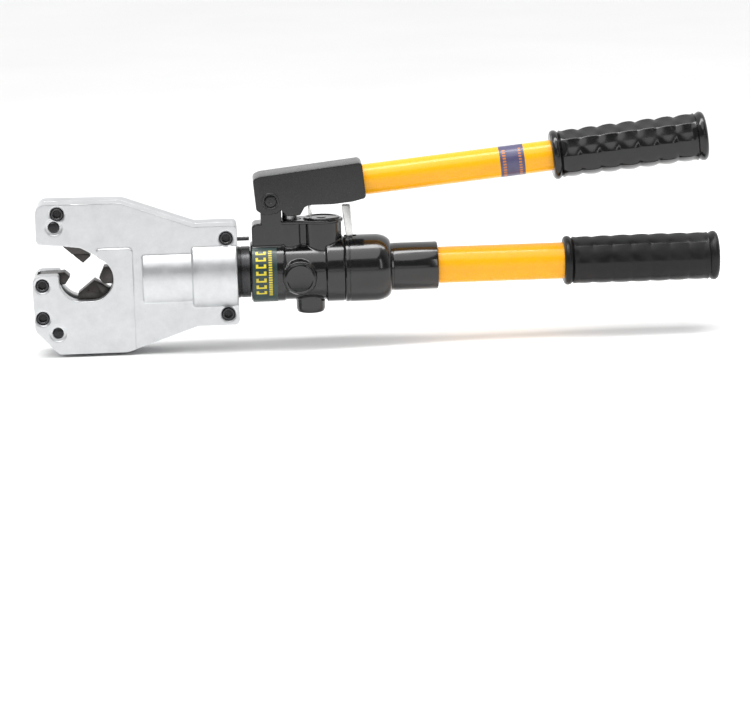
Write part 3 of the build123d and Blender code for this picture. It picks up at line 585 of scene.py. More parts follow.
def clearances(side):
    """Tools that clear the mechanism's space, the bores and the recesses of one cover."""
    near, far = -side * 1.0, side * 24.0
    tools = [
        plate("plate_space", space_outline(), near, side * 14.8),
        plate("nose_space", in_head([
            (-163.5, 14.0), (-96.0, 14.0), (-96.0, -24.0), (-163.5, -24.0)]), near, side * 9.0),
        plate("lever_space", in_head([
            (-147.3, 36.0), (-111.5, 36.0), (-111.5, 12.0), (-147.3, 12.0)]), near, side * 9.0),
        turned("barrel_space", moved(HEAD_REAR, [
            (-78.5, 0), (-78.5, 17.0), (-76.4, 19.75), (-40.5, 19.75), (-40.5, 22.4),
            (-4.7, 22.4), (-4.7, 21.5), (2.0, 21.5), (2.0, 0)])),
    ]
    for x, z in SCREWS:
        level = face_level((x, z))
        if side < 0:
            tools.append(turned("screw_recess", [
                (-13.0, 0), (-13.0, 5.3), (level + 0.7, 5.3), (level + 0.5, 6.4),
                (level - 0.4, 7.2), (far, 7.2), (far, 0),
            ], (x, 0, z), "Y", 48))
        else:
            tools.append(turned("screw_thread", [
                (near, 0), (near, 3.2), (9.4, 3.2), (9.4, 0)], (x, 0, z), "Y", 32))
    for x, z in PINS:
        level = abs(face_level((x, z))) if side < 0 else HALF_DEPTH
        tools.append(turned("pin_recess", [
            (near, 0), (near, 4.5), (side * (level - 0.9), 4.5), (side * (level - 0.8), 6.5),
            (side * (level + 0.4), 7.6), (far, 7.6), (far, 0),
        ], (x, 0, z), "Y", 64))
    return tools


def cover(side, voxel):
    """One cover, machined and then blended: side is -1 for the front and 1 for the back."""
    outline = head_outline()
    face = side * (HALF_DEPTH - (PANEL_STEP if side < 0 else 0.0))
    shell = plate("cover_shell", outline, side * 0.25, face)
    round_face(shell, face, 3.0, 5)
    parts = [shell]
    if side < 0:
        panel = plate("panel", panel_outline(), -6.0, -HALF_DEPTH)
        round_face(panel, -HALF_DEPTH, 1.0, 3)
        trim = plate("panel_trim", outline, -5.0, -HALF_DEPTH - 1.0)
        round_face(trim, -HALF_DEPTH - 1.0, 3.2, 4)
        cut(panel, trim, "INTERSECT")
        parts.append(panel)
    parts.append(bulge("small", HEAD_REAR - 77.8, 41.2, 26.5, side))
    parts.append(bulge("large", HEAD_REAR - 37.2, 36.6, 30.0, side))
    for part in parts:
        for tool in clearances(side):
            cut(part, tool)
    piece = joined("cover", parts)
    cast(piece, voxel, 4, 0.35)
    return piece


def distance(name, description, default, low, high):
    """A length in metres, shown in the scene's units."""
    return bpy.props.FloatProperty(
        name=name, description=description, default=default, min=low, max=high,
        subtype="DISTANCE", unit="LENGTH", precision=5)


def strength(name, description, default, high):
    """A plain factor."""
    return bpy.props.FloatProperty(
        name=name, description=description, default=default, min=0.0, max=high, subtype="FACTOR")


def paint(name, description, default):
    """A colour of a finish."""
    return bpy.props.FloatVectorProperty(
        name=name, description=description, default=default, min=0.0, max=1.0, size=3,
        subtype="COLOR")


class HeadSizes(bpy.types.PropertyGroup):
    """Sizes of the head's covers."""

    front_voxel: distance(
        "Front detail", "Grid used to blend the front cover's casting", 0.0005, 0.0003, 0.002)
    back_voxel: distance(
        "Back detail", "Grid used to blend the back cover's casting", 0.00065, 0.0003, 0.002)


class PumpSizes(bpy.types.PropertyGroup):
    """Sizes of the pump body's casting."""

    voxel: distance(
        "Body detail", "Grid used to blend the pump body's casting", 0.00055, 0.0003, 0.002)


class GripSizes(bpy.types.PropertyGroup):
    """Sizes of the moulded grips."""

    pitch: distance("Facet pitch", "Length of one facet along the grip", 0.0158, 0.008, 0.03)
    rows: bpy.props.IntProperty(
        name="Facet rows", description="Rows of facets round the grip", default=8, min=4, max=16)
    upper_depth: strength("Upper grip relief", "Strength of the facets' relief", 1.0, 1.5)
    lower_depth: strength("Lower grip relief", "Strength of the facets' relief", 0.5, 1.5)


class FinishColours(bpy.types.PropertyGroup):
    """Colours of the painted and printed finishes."""

    tubes: paint("Tubes", "Enamel of both handle tubes", (1.0, 0.45, 0.002))
    castings: paint("Castings", "Enamel of the pump and the bell", (0.006, 0.006, 0.0065))
    bracket: paint("Bracket", "Coating of the handle's bracket", (0.008, 0.008, 0.009))
    band: paint("Front label", "Film round the pump's ring", (0.012, 0.04, 0.035))
    sticker: paint("Tube sticker", "Film on the pumping tube", (0.075, 0.07, 0.155))


class TOOL_OT_covers(bpy.types.Operator):
    """Build both cast covers of the head."""

    bl_idname = "crimp.covers"
    bl_label = "Head covers"

    def execute(self, context):
        sizes = context.scene.crimp_head
        for side, name, voxel in (
            (-1, "head_cover_front", sizes.front_voxel), (1, "head_cover_back", sizes.back_voxel),
        ):
            piece = cover(side, voxel)
            piece.name = piece.data.name = name + "_cast"
            finished(piece, "head", "cast_aluminium", name, angle=38.0)
        return {"FINISHED"}


def cap_screw(place):
    """Socket-headed cap screw seen in its recess, with a chamfered hexagon socket."""
    x, z = place
    body = turned("cap_screw", [
        (9.0, 0), (9.0, 3.0), (-14.0, 3.0), (-14.0, 4.9), (-18.9, 4.9), (-19.35, 4.75),
        (-19.6, 4.4), (-19.6, 0),
    ], (x, 0, z), "Y", 64)
    socket = plate("socket", arc((x, z), 3.4, 90.0, 390.0, 5), -16.0, -21.0)
    cut(body, socket)
    lead = turned("lead", [(-19.1, 0), (-19.1, 3.1), (-20.0, 4.0), (-20.0, 0)], (x, 0, z), "Y", 48)
    cut(body, lead)
    return body


class TOOL_OT_fasteners(bpy.types.Operator):
    """Build the cap screws and cross pins of the head."""

    bl_idname = "crimp.fasteners"
    bl_label = "Head fasteners"

    def execute(self, context):
        screws = joined("cap_screws", [cap_screw(place) for place in SCREWS])
        finished(screws, "head", "pin_steel", "cover_screws")
        for (x, z), node in zip(PINS, ("lever_pivot_pin", "anvil_dowel")):
            pin = turned(node + "_turned", [
                (-19.4, 0), (-19.4, 3.2), (-19.25, 3.6), (-18.6, 4.3), (18.6, 4.3), (19.25, 3.6),
                (19.4, 3.2), (19.4, 0),
            ], (x, 0, z), "Y", 64)
            finished(pin, "head", "pin_steel", node)
        return {"FINISHED"}


def nose(name, points, width, bevel_width=0.5):
    """Ground steel nose from its side view."""
    piece = plate(name, in_head(points), -width, width)
    soften(piece, bevel_width, 3, 20.0)
    return piece


class TOOL_OT_noses(bpy.types.Operator):
    """Build the four crimping noses and the anvil; the upper nose moves with the lever."""

    bl_idname = "crimp.noses"
    bl_label = "Crimping noses"

    def execute(self, context):
        left = nose("anvil_nose", [
            (-147.1, 4.0), (-141.5, 4.6), (-137.0, 0.5), (-141.0, -5.2), (-147.1, -6.2)], 7.5)
        finished(left, "head", "hardened_steel", "anvil_indenter")
        right = nose("ram_nose", [
            (-96.05, 7.7), (-109.5, 7.7), (-113.6, -1.3), (-109.8, -6.0), (-96.05, -6.0)], 7.5)
        finished(right, "ram", "hardened_steel", "ram_indenter")
        upper = nose("upper_nose", [
            (-134.4, 19.35), (-132.5, 17.4), (-126.0, 11.7), (-119.6, 17.2), (-121.6, 19.35)], 7.5)
        finished(upper, "lever", "hardened_steel", "upper_indenter")
        lower = nose("lower_nose", [
            (-131.0, -19.65), (-131.0, -13.6), (-117.4, -2.7), (-105.5, -10.3), (-105.5, -19.65)],
            7.5)
        dimples = [
            turned("dimple", [(-9.0, 0), (-9.0, 1.3), (-7.3, 0.8), (-6.9, 0)],
                   (HEAD_REAR + x, 0, z + HEAD_LIFT), "Y", 24)
            for x, z in ((-122.4, -10.6), (-113.6, -12.6))
        ]
        cut(lower, joined("dimples", dimples))
        finished(lower, "ram", "hardened_steel", "lower_indenter")
        block = plate("anvil_body", in_head([
            (-161.0, 3.7), (-147.2, 3.7), (-147.2, -37.5), (-138.0, -37.5), (-138.0, -54.0),
            (-146.8, -54.0), (-160.6, -39.4)]), -8.6, 8.6)
        clear = [
            turned("clear", [(-12.0, 0), (-12.0, 7.6), (12.0, 7.6), (12.0, 0)], (x, 0, z), "Y", 48)
            for x, z in SCREWS[1:3]
        ]
        clear.append(turned("dowel_hole", [(-12.0, 0), (-12.0, 4.35), (12.0, 4.35), (12.0, 0)],
                            (PINS[1][0], 0, PINS[1][1]), "Y", 48))
        cut(block, joined("clear", clear))
        finished(block, "head", "hardened_steel", "anvil_block")
        return {"FINISHED"}


class TOOL_OT_neck(bpy.types.Operator):
    """Build the cylinder with its neck, and the index pin beside it."""

    bl_idname = "crimp.neck"
    bl_label = "Cylinder and neck"

    def execute(self, context):
        barrel = turned("cylinder_turned", moved(HEAD_REAR, [
            (-78.0, 15.0), (-78.0, 16.6), (-76.0, 19.5), (-39.5, 19.5), (-39.5, 22.0),
            (-5.1, 22.0), (-5.1, 21.0), (1.6, 21.0), (1.9, 20.7), (2.5, 20.7), (2.8, 21.0),
            (9.4, 21.0), (10.0, 20.4), (10.0, 17.0), (16.0, 17.0), (16.0, 15.0), (21.0, 15.0),
            (21.0, 17.0), (26.0, 17.0), (26.0, 14.0), (30.0, 14.0), (30.0, 17.0), (34.0, 17.0),
            (34.0, 3.0), (-8.0, 3.0), (-8.0, 15.0),
        ]))
        finished(barrel, "head", "pin_steel", "cylinder")
        pin = turned("index_pin_turned", moved(HEAD_REAR, [
            (0, 0), (0, 1.65), (9.3, 1.65), (9.7, 1.2), (9.7, 0)]), (0, 0, 27.5), sides=32)
        finished(pin, "head", "pin_steel", "index_pin")
        return {"FINISHED"}


# ---- Pump ----

class TOOL_OT_pump(bpy.types.Operator):
    """Build the pump body's casting with its ring, bosses, ear and valve stub."""

    bl_idname = "crimp.pump"
    bl_label = "Pump body"

    def bores(self, wanted=("spigot", "plunger", "pivot", "tank", "plug", "valve", "chamber")):
        """Tools for the bores: (along, radius) sections, their centres and their axes."""
        sections = {
            "spigot": (moved(RING_FRONT, [
                (-2.0, 0), (-2.0, 18.4), (0.9, 17.4), (25.0, 17.4), (25.0, 0)]), (0, 0, 0), "X"),
            "plunger": ([
                (12.3, 0), (12.3, 6.3), (36.4, 6.3), (36.4, 9.0), (44.0, 9.6), (44.0, 0)],
                (PLUNGER_X, 0, 0), "Z"),
            "pivot": ([(-14.0, 0), (-14.0, 5.2), (14.0, 5.2), (14.0, 0)],
                      (PIVOT[0], 0, PIVOT[2]), "Y"),
            "tank": ([(41.2, 0), (41.2, 15.0), (43.5, 15.3), (43.5, 0)], (RESERVOIR_X, 0, 0), "Z"),
            "plug": ([(-36.0, 0), (-36.0, 8.6), (-27.0, 8.0), (-27.0, 0)], (STUB_X, 0, 0), "Z"),
            "valve": ([(-33.0, 0), (-33.0, 5.0), (-10.0, 5.0), (-10.0, 0)],
                      (KNOB_X, 0, KNOB_Z), "Y"),
            "chamber": (moved(BELL_FRONT, [
                (-10.0, 0), (-10.0, 15.0), (1.0, 15.0), (1.0, 0)]), (0, 0, 0), "X"),
        }
        return [turned(name, *sections[name][:2], sections[name][2], 64) for name in wanted]

    def execute(self, context):
        barrel = turned("pump_barrel", moved(RING_FRONT, [
            (0, 0), (0, 23.6), (1.4, 25.0), (27.3, 25.0), (28.3, 24.0),
        ]) + moved(BELL_FRONT, [
            (-15.5, 24.0), (-15.0, 26.2), (-14.5, 26.7), (-0.9, 26.7), (0, 25.8), (0, 0)]))
        plunger_boss, tank_boss = (
            turned(name, [(0, 0), (0, radius), (41.0, radius), (41.0, 0)], (x, 0, 0), "Z")
            for name, radius, x in (
                ("plunger_boss", 12.5, PLUNGER_X), ("tank_boss", 16.4, RESERVOIR_X)))
        web = plate("web", [
            (PLUNGER_X, -8.0), (PLUNGER_X, 8.0), (RESERVOIR_X, 11.0), (RESERVOIR_X, -11.0),
        ], 0.0, 41.0, "XY")
        front = RING_FRONT + 1.7
        ear_points = [(front, 8.0), (front, 38.5), (front + 2.5, 41.0), (PIVOT[0] - 8.5, 41.0)]
        ear_points += arc((PIVOT[0], PIVOT[2]), 8.5, 180.0, 0.0, 24)
        ear_points += [(PIVOT[0] + 8.5, 8.0)]
        ear = plate("ear", ear_points, -11.6, 11.6)
        soften(ear, 1.0, 2, 40.0)
        flange = plate("flange", arc((PLUNGER_X, 0.0), 13.5, 105.0, 255.0, 24)
                       + arc((RESERVOIR_X, 0.0), 17.6, 255.0, 465.0, 36), 39.9, 42.5, "XY")
        soften(flange, 0.7, 3, 40.0)
        knob_boss = turned("knob_boss", [
            (0, 0), (0, 14.6), (-22.0, 14.6), (-24.0, 13.6), (-26.4, 13.6), (-27.0, 13.0),
            (-27.0, 0),
        ], (KNOB_X, 0, KNOB_Z), "Y")
        stub = turned("stub", [
            (0, 0), (0, 11.9), (-31.5, 11.9), (-34.0, 10.9), (-35.0, 9.0), (-35.0, 0),
        ], (STUB_X, 0, 0), "Z")
        for tool in self.bores(("plunger", "tank")):
            cut(flange, tool)
        bored = (
            (barrel, ("spigot", "plunger", "plug", "valve", "chamber")),
            (plunger_boss, ("spigot", "plunger", "valve")), (tank_boss, ("valve", "tank")),
            (web, ("plunger", "tank")), (ear, ("spigot", "plunger", "pivot")),
            (knob_boss, ("valve",)), (stub, ("plug", "valve")),
        )
        for part, wanted in bored:
            for tool in self.bores(wanted):
                cut(part, tool)
        parts = [part for part, wanted in bored]
        body = joined("pump_blend", parts)
        cast(body, context.scene.crimp_pump.voxel, 4, 0.4)
        body = joined("pump_cast", [body, flange])
        finished(body, "pump", "black_enamel", "pump_body", angle=42.0)
        return {"FINISHED"}


class TOOL_OT_fittings(bpy.types.Operator):
    """Build the caps, gland, plug, stop pin and release lever."""

    bl_idname = "crimp.fittings"
    bl_label = "Pump fittings"

    def execute(self, context):
        knob = turned("safety_valve_cap", [
            (-21.0, 0), (-21.0, 4.9), (-27.0, 4.9), (-27.0, 12.0), (-27.5, 12.6), (-30.6, 12.6),
            (-31.4, 12.3), (-31.9, 11.5), (-32.0, 10.8), (-31.6, 10.3), (-31.45, 9.6),
            (-31.4, 0),
        ], (KNOB_X, 0, KNOB_Z), "Y")
        finished(knob, "pump", "black_enamel", "valve_cap")
        cap = turned("tank_cap", [
            (42.5, 0), (42.5, 14.9), (43.3, 14.9), (43.75, 14.6), (43.9, 14.0), (43.9, 12.6),
            (43.3, 12.0), (43.2, 4.2), (43.6, 3.6), (43.6, 0),
        ], (RESERVOIR_X, 0, 0), "Z")
        finished(cap, "pump", "black_enamel", "reservoir_cap")
        gland = turned("gland_nut", [
            (36.5, 6.05), (36.5, 8.9), (41.9, 8.9), (42.5, 8.3), (42.5, 6.6), (42.0, 6.05),
        ], (PLUNGER_X, 0, 0), "Z", 64)
        for turn in (45.0, 135.0, 225.0, 315.0):
            slot = turned("gland_hole", [(41.0, 0), (41.0, 0.7), (43.5, 0.7), (43.5, 0)], (
                PLUNGER_X + 7.4 * math.cos(math.radians(turn)),
                7.4 * math.sin(math.radians(turn)), 0), "Z", 20)
            cut(gland, slot)
        finished(gland, "pump", "pin_steel", "plunger_gland")
        plug = turned("check_plug", [
            (-35.0, 0), (-35.0, 7.0), (-34.2, 7.9), (-27.0, 7.9), (-27.0, 0),
        ], (STUB_X, 0, 0), "Z", 64)
        key = plate("key", arc((STUB_X, 0.0), 4.6, 0.0, 300.0, 5), -36.0, -30.5, "XY")
        cut(plug, key)
        finished(plug, "pump", "black_steel", "bottom_plug")
        bottom, top = (corner.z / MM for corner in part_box("stop_pin"))
        stop = turned("stop_pin_turned", [
            (bottom, 0), (bottom, 1.4), (top - 0.5, 1.4), (top, 0.9), (top, 0),
        ], (middle_of("stop_pin", 0), 0, 0), "Z", 32)
        finished(stop, "pump", "bright_zinc", "stop_pin")
        low, high = (corner.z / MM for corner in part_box("release_lever"))
        lever = plate("release_blade", moved(BELL_FRONT + RELEASE_BEHIND, [
            (-2.6, low), (-6.2, high - 1.0), (-5.5, high), (0.2, high), (1.0, high - 1.0),
            (2.6, low)]), -3.0, 3.0)
        soften(lever, 0.7, 3, 15.0)
        finished(lever, "release", "bright_zinc", "release_lever")
        return {"FINISHED"}


class TOOL_OT_bell(bpy.types.Operator):
    """Build the rear bell with its dome, seams and the sleeve over the fixed tube."""

    bl_idname = "crimp.bell"
    bl_label = "Rear bell"

    def execute(self, context):
        dome = []
        for step in range(1, 13):
            turn = math.pi / 2 * step / 13
            dome.append((25.0 + 13.0 * math.sin(turn) ** 1.15, 19.6 + 7.9 * math.cos(turn) ** 0.9))
        profile = moved(BELL_FRONT, [
            (0, 10.0), (0, 26.6), (0.9, 27.5), (3.0, 27.5), (3.4, 27.15), (3.9, 27.15),
            (4.3, 27.5), (25.0, 27.5), *dome, (38.2, 19.6), (39.6, 19.3), (40.2, 19.6),
        ]) + moved(TUBE_FRONT, [
            (-1.4, 19.6), (-0.5, 19.25), (0, 18.2), (0, 16.2), (-0.8, 15.1),
        ]) + moved(BELL_FRONT, [(41.0, 15.05), (41.0, 10.0)])
        bell = turned("bell_turned", profile, sides=128)
        fresh()
        bpy.ops.mesh.primitive_cube_add(
            size=1.0, location=((BELL_FRONT + RELEASE_BEHIND) * MM, 0, 28.0 * MM),
            scale=(10.2 * MM, 9.0 * MM, 28.0 * MM))
        hole = named("release_hole")
        settle(hole)
        soften(hole, 1.8, 3, 40.0)
        cut(bell, hole)
        finished(bell, "pump", "black_enamel", "rear_bell", angle=35.0)
        return {"FINISHED"}


# ---- Handles ----

def tube(name, front, back, radius, wall):
    """Drawn tube with softened ends."""
    return turned(name, [
        (front, radius - 0.4), (front + 0.4, radius), (back - 0.4, radius), (back, radius - 0.4),
        (back, radius - wall), (front, radius - wall),
    ], sides=96)


def moulded_grip(name, front, back, bore, depth, pitch, rows):
    """Grip with a rolled lip at each end and scale-like facets between them."""
    lip, neck_in, tail = front + 7.0, front + 8.0, back - 9.0
    profile = [(front, bore), (front, 17.6), (front + 0.6, 18.9), (front + 1.8, 19.9),
               (front + 3.4, 20.2), (front + 5.0, 19.8), (front + 6.2, 18.8), (lip, 18.0)]
    steps = int((tail - neck_in) / 0.9)
    profile += [(neck_in + (tail - neck_in) * step / steps, 19.3) for step in range(steps + 1)]
    profile += [(back - 8.0, 18.3), (back - 7.0, 18.9), (back - 5.6, 19.8), (back - 4.0, 20.2),
                (back - 2.4, 19.8), (back - 1.1, 18.6), (back - 0.5, 17.0), (back - 0.2, 13.0),
                (back, 7.0), (back, 0), (back - 4.0, 0), (back - 4.0, bore)]
    piece = turned(name, profile, sides=160)
    length = tail - neck_in
    for vertex in piece.data.vertices:
        x, y, z = (place / MM for place in vertex.co)
        radius = math.hypot(y, z)
        if not (neck_in - 0.2 < x < tail + 0.2 and radius > 19.0):
            continue
        turn = math.atan2(z, -y) / (2 * math.pi) * rows % 1.0 - 0.5
        flat = math.cos(math.pi / rows) / math.cos(2 * math.pi / rows * turn)
        run = ((x - neck_in) / pitch) % 1.0
        peak = 0.58
        swell = (run - peak) / (peak if run < peak else 1.0 - peak)
        hump = 1.0 - abs(swell) ** 2.2
        fade = max(0.0, min(1.0, (x - neck_in) / 4.0, (tail - x) / 4.0))
        crown = math.sin(math.pi * (x - neck_in) / length) * 0.5
        upper = max(0.0, min(1.0, z / 16.0 + 0.55))
        sag = 19.4 * (1.0 - flat) * (0.1 + 0.9 * hump) * (0.6 + 0.6 * upper)
        out = 19.4 + crown - fade * depth * (sag + 1.7 * (1.0 - hump))
        vertex.co.y *= out / radius
        vertex.co.z *= out / radius
    return piece


class TOOL_OT_tubes(bpy.types.Operator):
    """Build the fixed tube and the pumping tube."""

    bl_idname = "crimp.tubes"
    bl_label = "Tubes"

    def execute(self, context):
        front, back = (corner.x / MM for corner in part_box("lower_tube"))
        fixed = tube("fixed_tube", front, back, LOWER_TUBE, 2.0)
        finished(fixed, "pump", "yellow_enamel", "lower_tube")
        pumping = tube("pumping_tube", 38.0, UPPER_GRIP_BACK - 4.0, UPPER_TUBE, 2.0)
        pumping.location.z = TUBE_RISE * MM
        bpy.context.view_layer.update()
        onto_handle(pumping)
        finished(pumping, "handle_tube", "yellow_enamel", "upper_tube")
        return {"FINISHED"}


class TOOL_OT_grips(bpy.types.Operator):
    """Build the two moulded grips."""

    bl_idname = "crimp.grips"
    bl_label = "Grips"

    def execute(self, context):
        sizes = context.scene.crimp_grips
        pitch = sizes.pitch / MM
        fixed = moulded_grip("fixed_grip", GRIP_FRONT, GRIP_BACK, LOWER_TUBE + 0.05,
                             sizes.lower_depth, pitch, sizes.rows)
        finished(fixed, "pump", "grip_rubber", "lower_grip", angle=60.0)
        pumping = moulded_grip("pumping_grip", UPPER_GRIP_FRONT, UPPER_GRIP_BACK,
                               UPPER_TUBE + 0.05, sizes.upper_depth, pitch, sizes.rows)
        pumping.location.z = TUBE_RISE * MM
        bpy.context.view_layer.update()
        onto_handle(pumping)
        gloss = rubber("grip_rubber_gloss", 0.18, 0.1, 0.5)
        finished(pumping, "handle_tube", "grip_rubber", "upper_grip", angle=60.0, material=gloss)
        return {"FINISHED"}


class TOOL_OT_bracket(bpy.types.Operator):
    """Build the pumping handle's bracket and its pivot pin."""

    bl_idname = "crimp.bracket"
    bl_label = "Handle bracket"

    def execute(self, context):
        over, under = 22.4, -8.9
        points = rounded([
            (-12.4, -6.0, 3.0), (-12.2, over - 2.8, 4.5), (-6.0, over - 1.0, 8.0),
            (BRACKET_BACK, over, 3.5), (BRACKET_BACK, under + 1.6, 3.0), (66.0, under, 6.0),
            (49.5, under, 6.0), (31.0, under + 1.8, 5.0), (26.9, -8.4, 2.0), (22.6, -14.5, 2.5),
            (11.8, -14.2, 2.5), (8.9, -10.4, 2.0), (7.6, -8.0, 1.0), (4.0, -10.6, 3.0),
            (-6.5, -10.9, 4.0),
        ], 5)
        body = plate("bracket_cast", points, -17.0, 17.0)
        soften(body, 2.8, 5, 40.0)
        channel = plate("channel", [(-20, -20), (-20, 13), (34, 13), (34, -20)], -12.0, 12.0)
        bore = turned("tube_bore", [
            (37.0, 0), (37.0, 12.6), (BRACKET_BACK - 0.8, 12.6), (BRACKET_BACK + 1.0, 14.2),
            (BRACKET_BACK + 1.0, 0)], (0, 0, TUBE_RISE))
        cam = turned("cam_slot", [(58.0, 0), (58.0, 15.3), (65.0, 15.3), (65.0, 0)],
                     (0, 0, TUBE_RISE))
        pivot = turned("pivot_hole", [(-18.0, 0), (-18.0, 5.1), (18.0, 5.1), (18.0, 0)], sides=64,
                       axis="Y")
        link_x = 15.3 * math.cos(HANDLE_TILT) - 5.0 * math.sin(HANDLE_TILT)
        link_z = -15.3 * math.sin(HANDLE_TILT) - 5.0 * math.cos(HANDLE_TILT)
        link = turned("link_hole", [(-16.55, 0), (-16.55, 3.05), (16.55, 3.05), (16.55, 0)],
                      (link_x, 0, link_z), "Y", 48)
        for tool in (channel, joined("bores", [bore, cam]), joined("cross", [pivot, link])):
            cut(body, tool)
        ring = turned("pivot_ring", [
            (-16.5, 5.6), (-17.5, 5.6), (-17.75, 5.9), (-17.8, 6.3), (-17.75, 6.7),
            (-17.5, 7.0), (-16.5, 7.3)], sides=64, axis="Y")
        body = joined("bracket_body", [body, ring])
        onto_handle(body)
        finished(body, "handle", "black_steel", "handle_bracket")
        pin = turned("pivot_turned", [
            (-17.0, 0), (-17.0, 1.2), (-17.4, 1.7), (-17.5, 3.6), (-17.2, 4.4), (-16.4, 4.9),
            (16.4, 4.9), (17.0, 4.2), (17.0, 0),
        ], sides=64, axis="Y")
        onto_handle(pin)
        finished(pin, "handle", "black_steel", "pivot_pin")
        return {"FINISHED"}


# ---- Labels ----

def wrapped(name, start, width, radius, thickness, low, high, centre_z=0.0):
    """A film wrapped round a tube from one angle to another, degrees from the front upwards."""
    steps = max(8, int(abs(high - low) / 3))
    inner = arc((0.0, centre_z), radius, 180.0 - low, 180.0 - high, steps)
    outer = arc((0.0, centre_z), radius + thickness, 180.0 - high, 180.0 - low, steps)
    return plate(name, inner + outer, start, start + width, "YZ")


class TOOL_OT_labels(bpy.types.Operator):
    """Build the label round the pump's ring and the sticker on the pumping tube."""

    bl_idname = "crimp.labels"
    bl_label = "Labels"

    def execute(self, context):
        start = RING_FRONT + 1.4
        film = wrapped("ring_label", start, 20.0, 25.02, 0.18, -142.0, 58.0)
        finished(film, "pump", "green_label", "label_band")
        ink = printed("label_ink", (0.75, 0.62, 0.02), (0.62, 0.5, 0.02))
        marks = []
        for index in range(7):
            low = -38.0 + index * 13.2
            marks.append(wrapped("mark", start + 2.6, 8.4, 25.2, 0.06, low, low + 3.0))
            marks.append(wrapped("mark", start + 2.6, 2.0, 25.2, 0.06, low + 3.0, low + 7.4))
            marks.append(wrapped("mark", start + 9.0, 2.0, 25.2, 0.06, low + 3.0, low + 7.4))
        for index in range(20):
            low = -42.0 + index * 4.7
            marks.append(wrapped("mark", start + 13.0, 2.8, 25.2, 0.06, low, low + 3.0))
        finished(joined("label_marks", marks), "pump", "green_label", material=ink)
        first = BRACKET_BACK + 112.0
        sticker = wrapped("tube_sticker", first, 20.0, 12.52, 0.14, -89.0, 89.0, TUBE_RISE)
        onto_handle(sticker)
        finished(sticker, "handle_tube", "blue_label", "sticker_band")
        orange = printed("sticker_ink", (0.62, 0.2, 0.03), (0.52, 0.17, 0.03))
        marks = []
        for index in range(11):
            low = -62.0 + index * 11.0
            marks.append(wrapped("mark", first + 2.2, 2.6, 12.66, 0.05, low, low + 6.5, TUBE_RISE))
            marks.append(
                wrapped("mark", first + 15.4, 2.2, 12.66, 0.05, low + 3.0, low + 9.0, TUBE_RISE))
        print_marks = joined("sticker_marks", marks)
        onto_handle(print_marks)
        finished(print_marks, "handle_tube", "blue_label", material=orange)
        return {"FINISHED"}


# ---- Carried-over pieces and the stage -----------------------------------------------------------

class TOOL_OT_repaint(bpy.types.Operator):
    """Give every piece carried over from the frame its detailed finish."""

    bl_idname = "crimp.repaint"
    bl_label = "Inner pieces"

    def execute(self, context):
        slots = {row["node"]: row["material_slot"] for row in frame["record"]["subparts"]}
        for name, node in frame["nodes"].items():
            if node.hide_render:
                continue
            node.data.materials.clear()
            node.data.materials.append(finish_of(slots[name]))
        return {"FINISHED"}


def lamp(name, place, aim, width, height, power):
    """A rectangular softbox aimed at a point."""
    fresh()
    bpy.ops.object.light_add(type="AREA", location=place)
    light = bpy.context.active_object
    light.name = name
    light.data.shape = "RECTANGLE"
    light.data.size = width
    light.data.size_y = height
    light.data.energy = power
    light.rotation_euler = (Vector(aim) - Vector(place)).to_track_quat("-Z", "Y").to_euler()


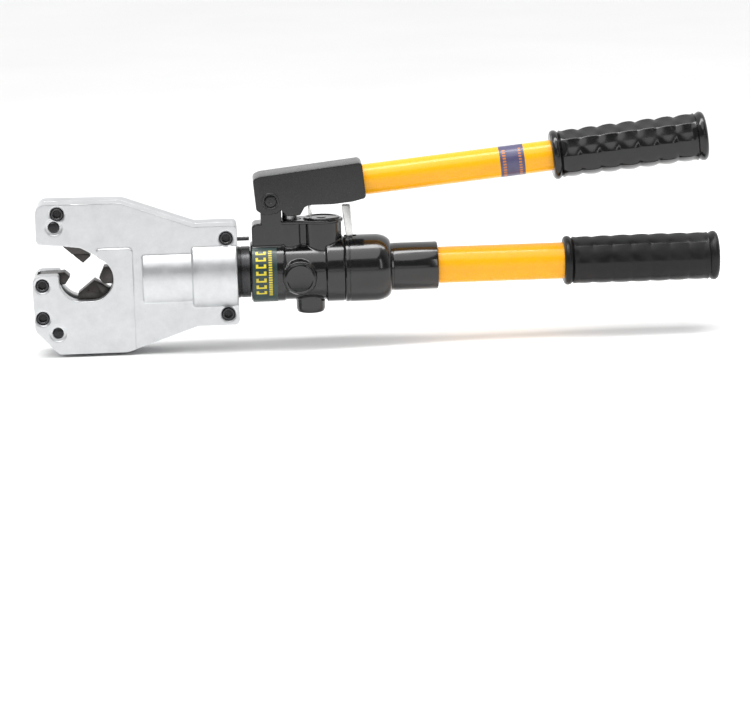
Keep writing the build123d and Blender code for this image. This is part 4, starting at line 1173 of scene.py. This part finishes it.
class TOOL_OT_stage(bpy.types.Operator):
    """Set the floor, the softboxes, the sky and the camera."""

    bl_idname = "crimp.stage"
    bl_label = "Stage"

    def execute(self, context):
        fresh()
        bpy.ops.mesh.primitive_plane_add(size=30.0, location=(-0.2, 6.0, -0.0622))
        floor = named("floor")
        material, tree, shader, coords = finish_nodes("floor_paint")
        mottle = noise(tree, coords, 3.0, 3.0, 0.5)
        tree.links.new(ramp(tree, mottle, 0.84, 0.87), shader.inputs["Base Color"])
        shader.inputs["Roughness"].default_value = 0.7
        floor.data.materials.append(material)
        aim = (-0.22, 0.0, 0.01)
        fresh()
        bpy.ops.object.light_add(type="SUN", location=(-1.0, -1.5, 3.0))
        sun = bpy.context.active_object
        sun.name = "overcast"
        sun.data.energy = 1.5
        sun.data.angle = math.radians(60.0)
        sun.rotation_euler = (math.radians(24.0), 0.0, math.radians(-20.0))
        for name, place, width, height, power in (
            ("key", (-0.45, -2.3, 0.2), 1.8, 0.35, 1.6), ("top", (-0.2, -0.1, 1.2), 1.8, 0.3, 14.0),
            ("fill", (0.95, -2.2, 0.9), 0.25, 1.4, 4.0), ("rim", (-1.4, 0.9, 0.6), 0.7, 0.7, 2.5),
        ):
            lamp(name, place, aim, width, height, power)
        world = bpy.data.worlds.new("studio")
        world.use_nodes = True
        sky = world.node_tree
        place = sky.nodes.new("ShaderNodeTexCoord")
        split = sky.nodes.new("ShaderNodeSeparateXYZ")
        sky.links.new(place.outputs["Generated"], split.inputs["Vector"])
        glow = sky.nodes.new("ShaderNodeMapRange")
        glow.inputs["From Min"].default_value = -0.55
        glow.inputs["From Max"].default_value = 0.1
        glow.inputs["To Min"].default_value = 0.16
        glow.inputs["To Max"].default_value = 0.92
        sky.links.new(split.outputs["Y"], glow.inputs["Value"])
        sky.links.new(glow.outputs["Result"], sky.nodes["Background"].inputs["Color"])
        sky.nodes["Background"].inputs["Strength"].default_value = 1.0
        context.scene.world = world
        context.scene.view_settings.view_transform = "Standard"
        yaw, rise, reach = math.radians(2.6), math.radians(9.85), 2.7
        target = Vector((-0.219, 0.0, 0.0))
        place = target + reach * Vector((
            -math.sin(yaw) * math.cos(rise), -math.cos(yaw) * math.cos(rise), math.sin(rise)))
        fresh()
        bpy.ops.object.camera_add(location=place)
        camera = bpy.context.active_object
        look = (target - place).to_track_quat("-Z", "Y").to_matrix().to_4x4()
        roll = Matrix.Rotation(math.radians(-1.6), 4, "Z")
        camera.matrix_world = Matrix.Translation(place) @ look @ roll
        camera.data.lens = 158.0
        camera.data.sensor_width = 36.0
        camera.data.shift_y = -0.1165
        camera.data.clip_end = 60.0
        context.scene.camera = camera
        return {"FINISHED"}


class TOOL_PT_panel(bpy.types.Panel):
    """Sidebar panel that lists the sizes, the colours and the steps."""

    bl_idname = "TOOL_PT_panel"
    bl_label = "Crimping tool"
    bl_space_type = "VIEW_3D"
    bl_region_type = "UI"
    bl_category = "Crimping tool"

    def draw(self, context):
        """Draw every size and colour, and one button for each step."""
        for name, group in GROUPS.items():
            for size in group.__annotations__:
                self.layout.prop(getattr(context.scene, name), size)
        for operator in OPERATORS:
            self.layout.operator(operator.bl_idname)


GROUPS = {
    "crimp_head": HeadSizes, "crimp_pump": PumpSizes, "crimp_grips": GripSizes,
    "crimp_colours": FinishColours,
}
OPERATORS = (
    TOOL_OT_covers, TOOL_OT_fasteners, TOOL_OT_noses, TOOL_OT_neck, TOOL_OT_pump,
    TOOL_OT_fittings, TOOL_OT_bell, TOOL_OT_tubes, TOOL_OT_grips, TOOL_OT_bracket,
    TOOL_OT_labels, TOOL_OT_repaint, TOOL_OT_stage,
)
CLASSES = (*GROUPS.values(), *OPERATORS, TOOL_PT_panel)


def register():
    """Register the size groups, the steps and the panel."""
    for item in CLASSES:
        bpy.utils.register_class(item)
    for name, group in GROUPS.items():
        setattr(bpy.types.Scene, name, bpy.props.PointerProperty(type=group))


def unregister():
    """Remove everything that register added."""
    for name in GROUPS:
        delattr(bpy.types.Scene, name)
    for item in reversed(CLASSES):
        bpy.utils.unregister_class(item)


def main():
    """Run every step in order."""
    register()
    bpy.ops.crimp.covers()
    bpy.ops.crimp.fasteners()
    bpy.ops.crimp.noses()
    bpy.ops.crimp.neck()
    bpy.ops.crimp.pump()
    bpy.ops.crimp.fittings()
    bpy.ops.crimp.bell()
    bpy.ops.crimp.tubes()
    bpy.ops.crimp.grips()
    bpy.ops.crimp.bracket()
    bpy.ops.crimp.labels()
    bpy.ops.crimp.repaint()
    bpy.ops.crimp.stage()


if __name__ == "__main__":
    main()
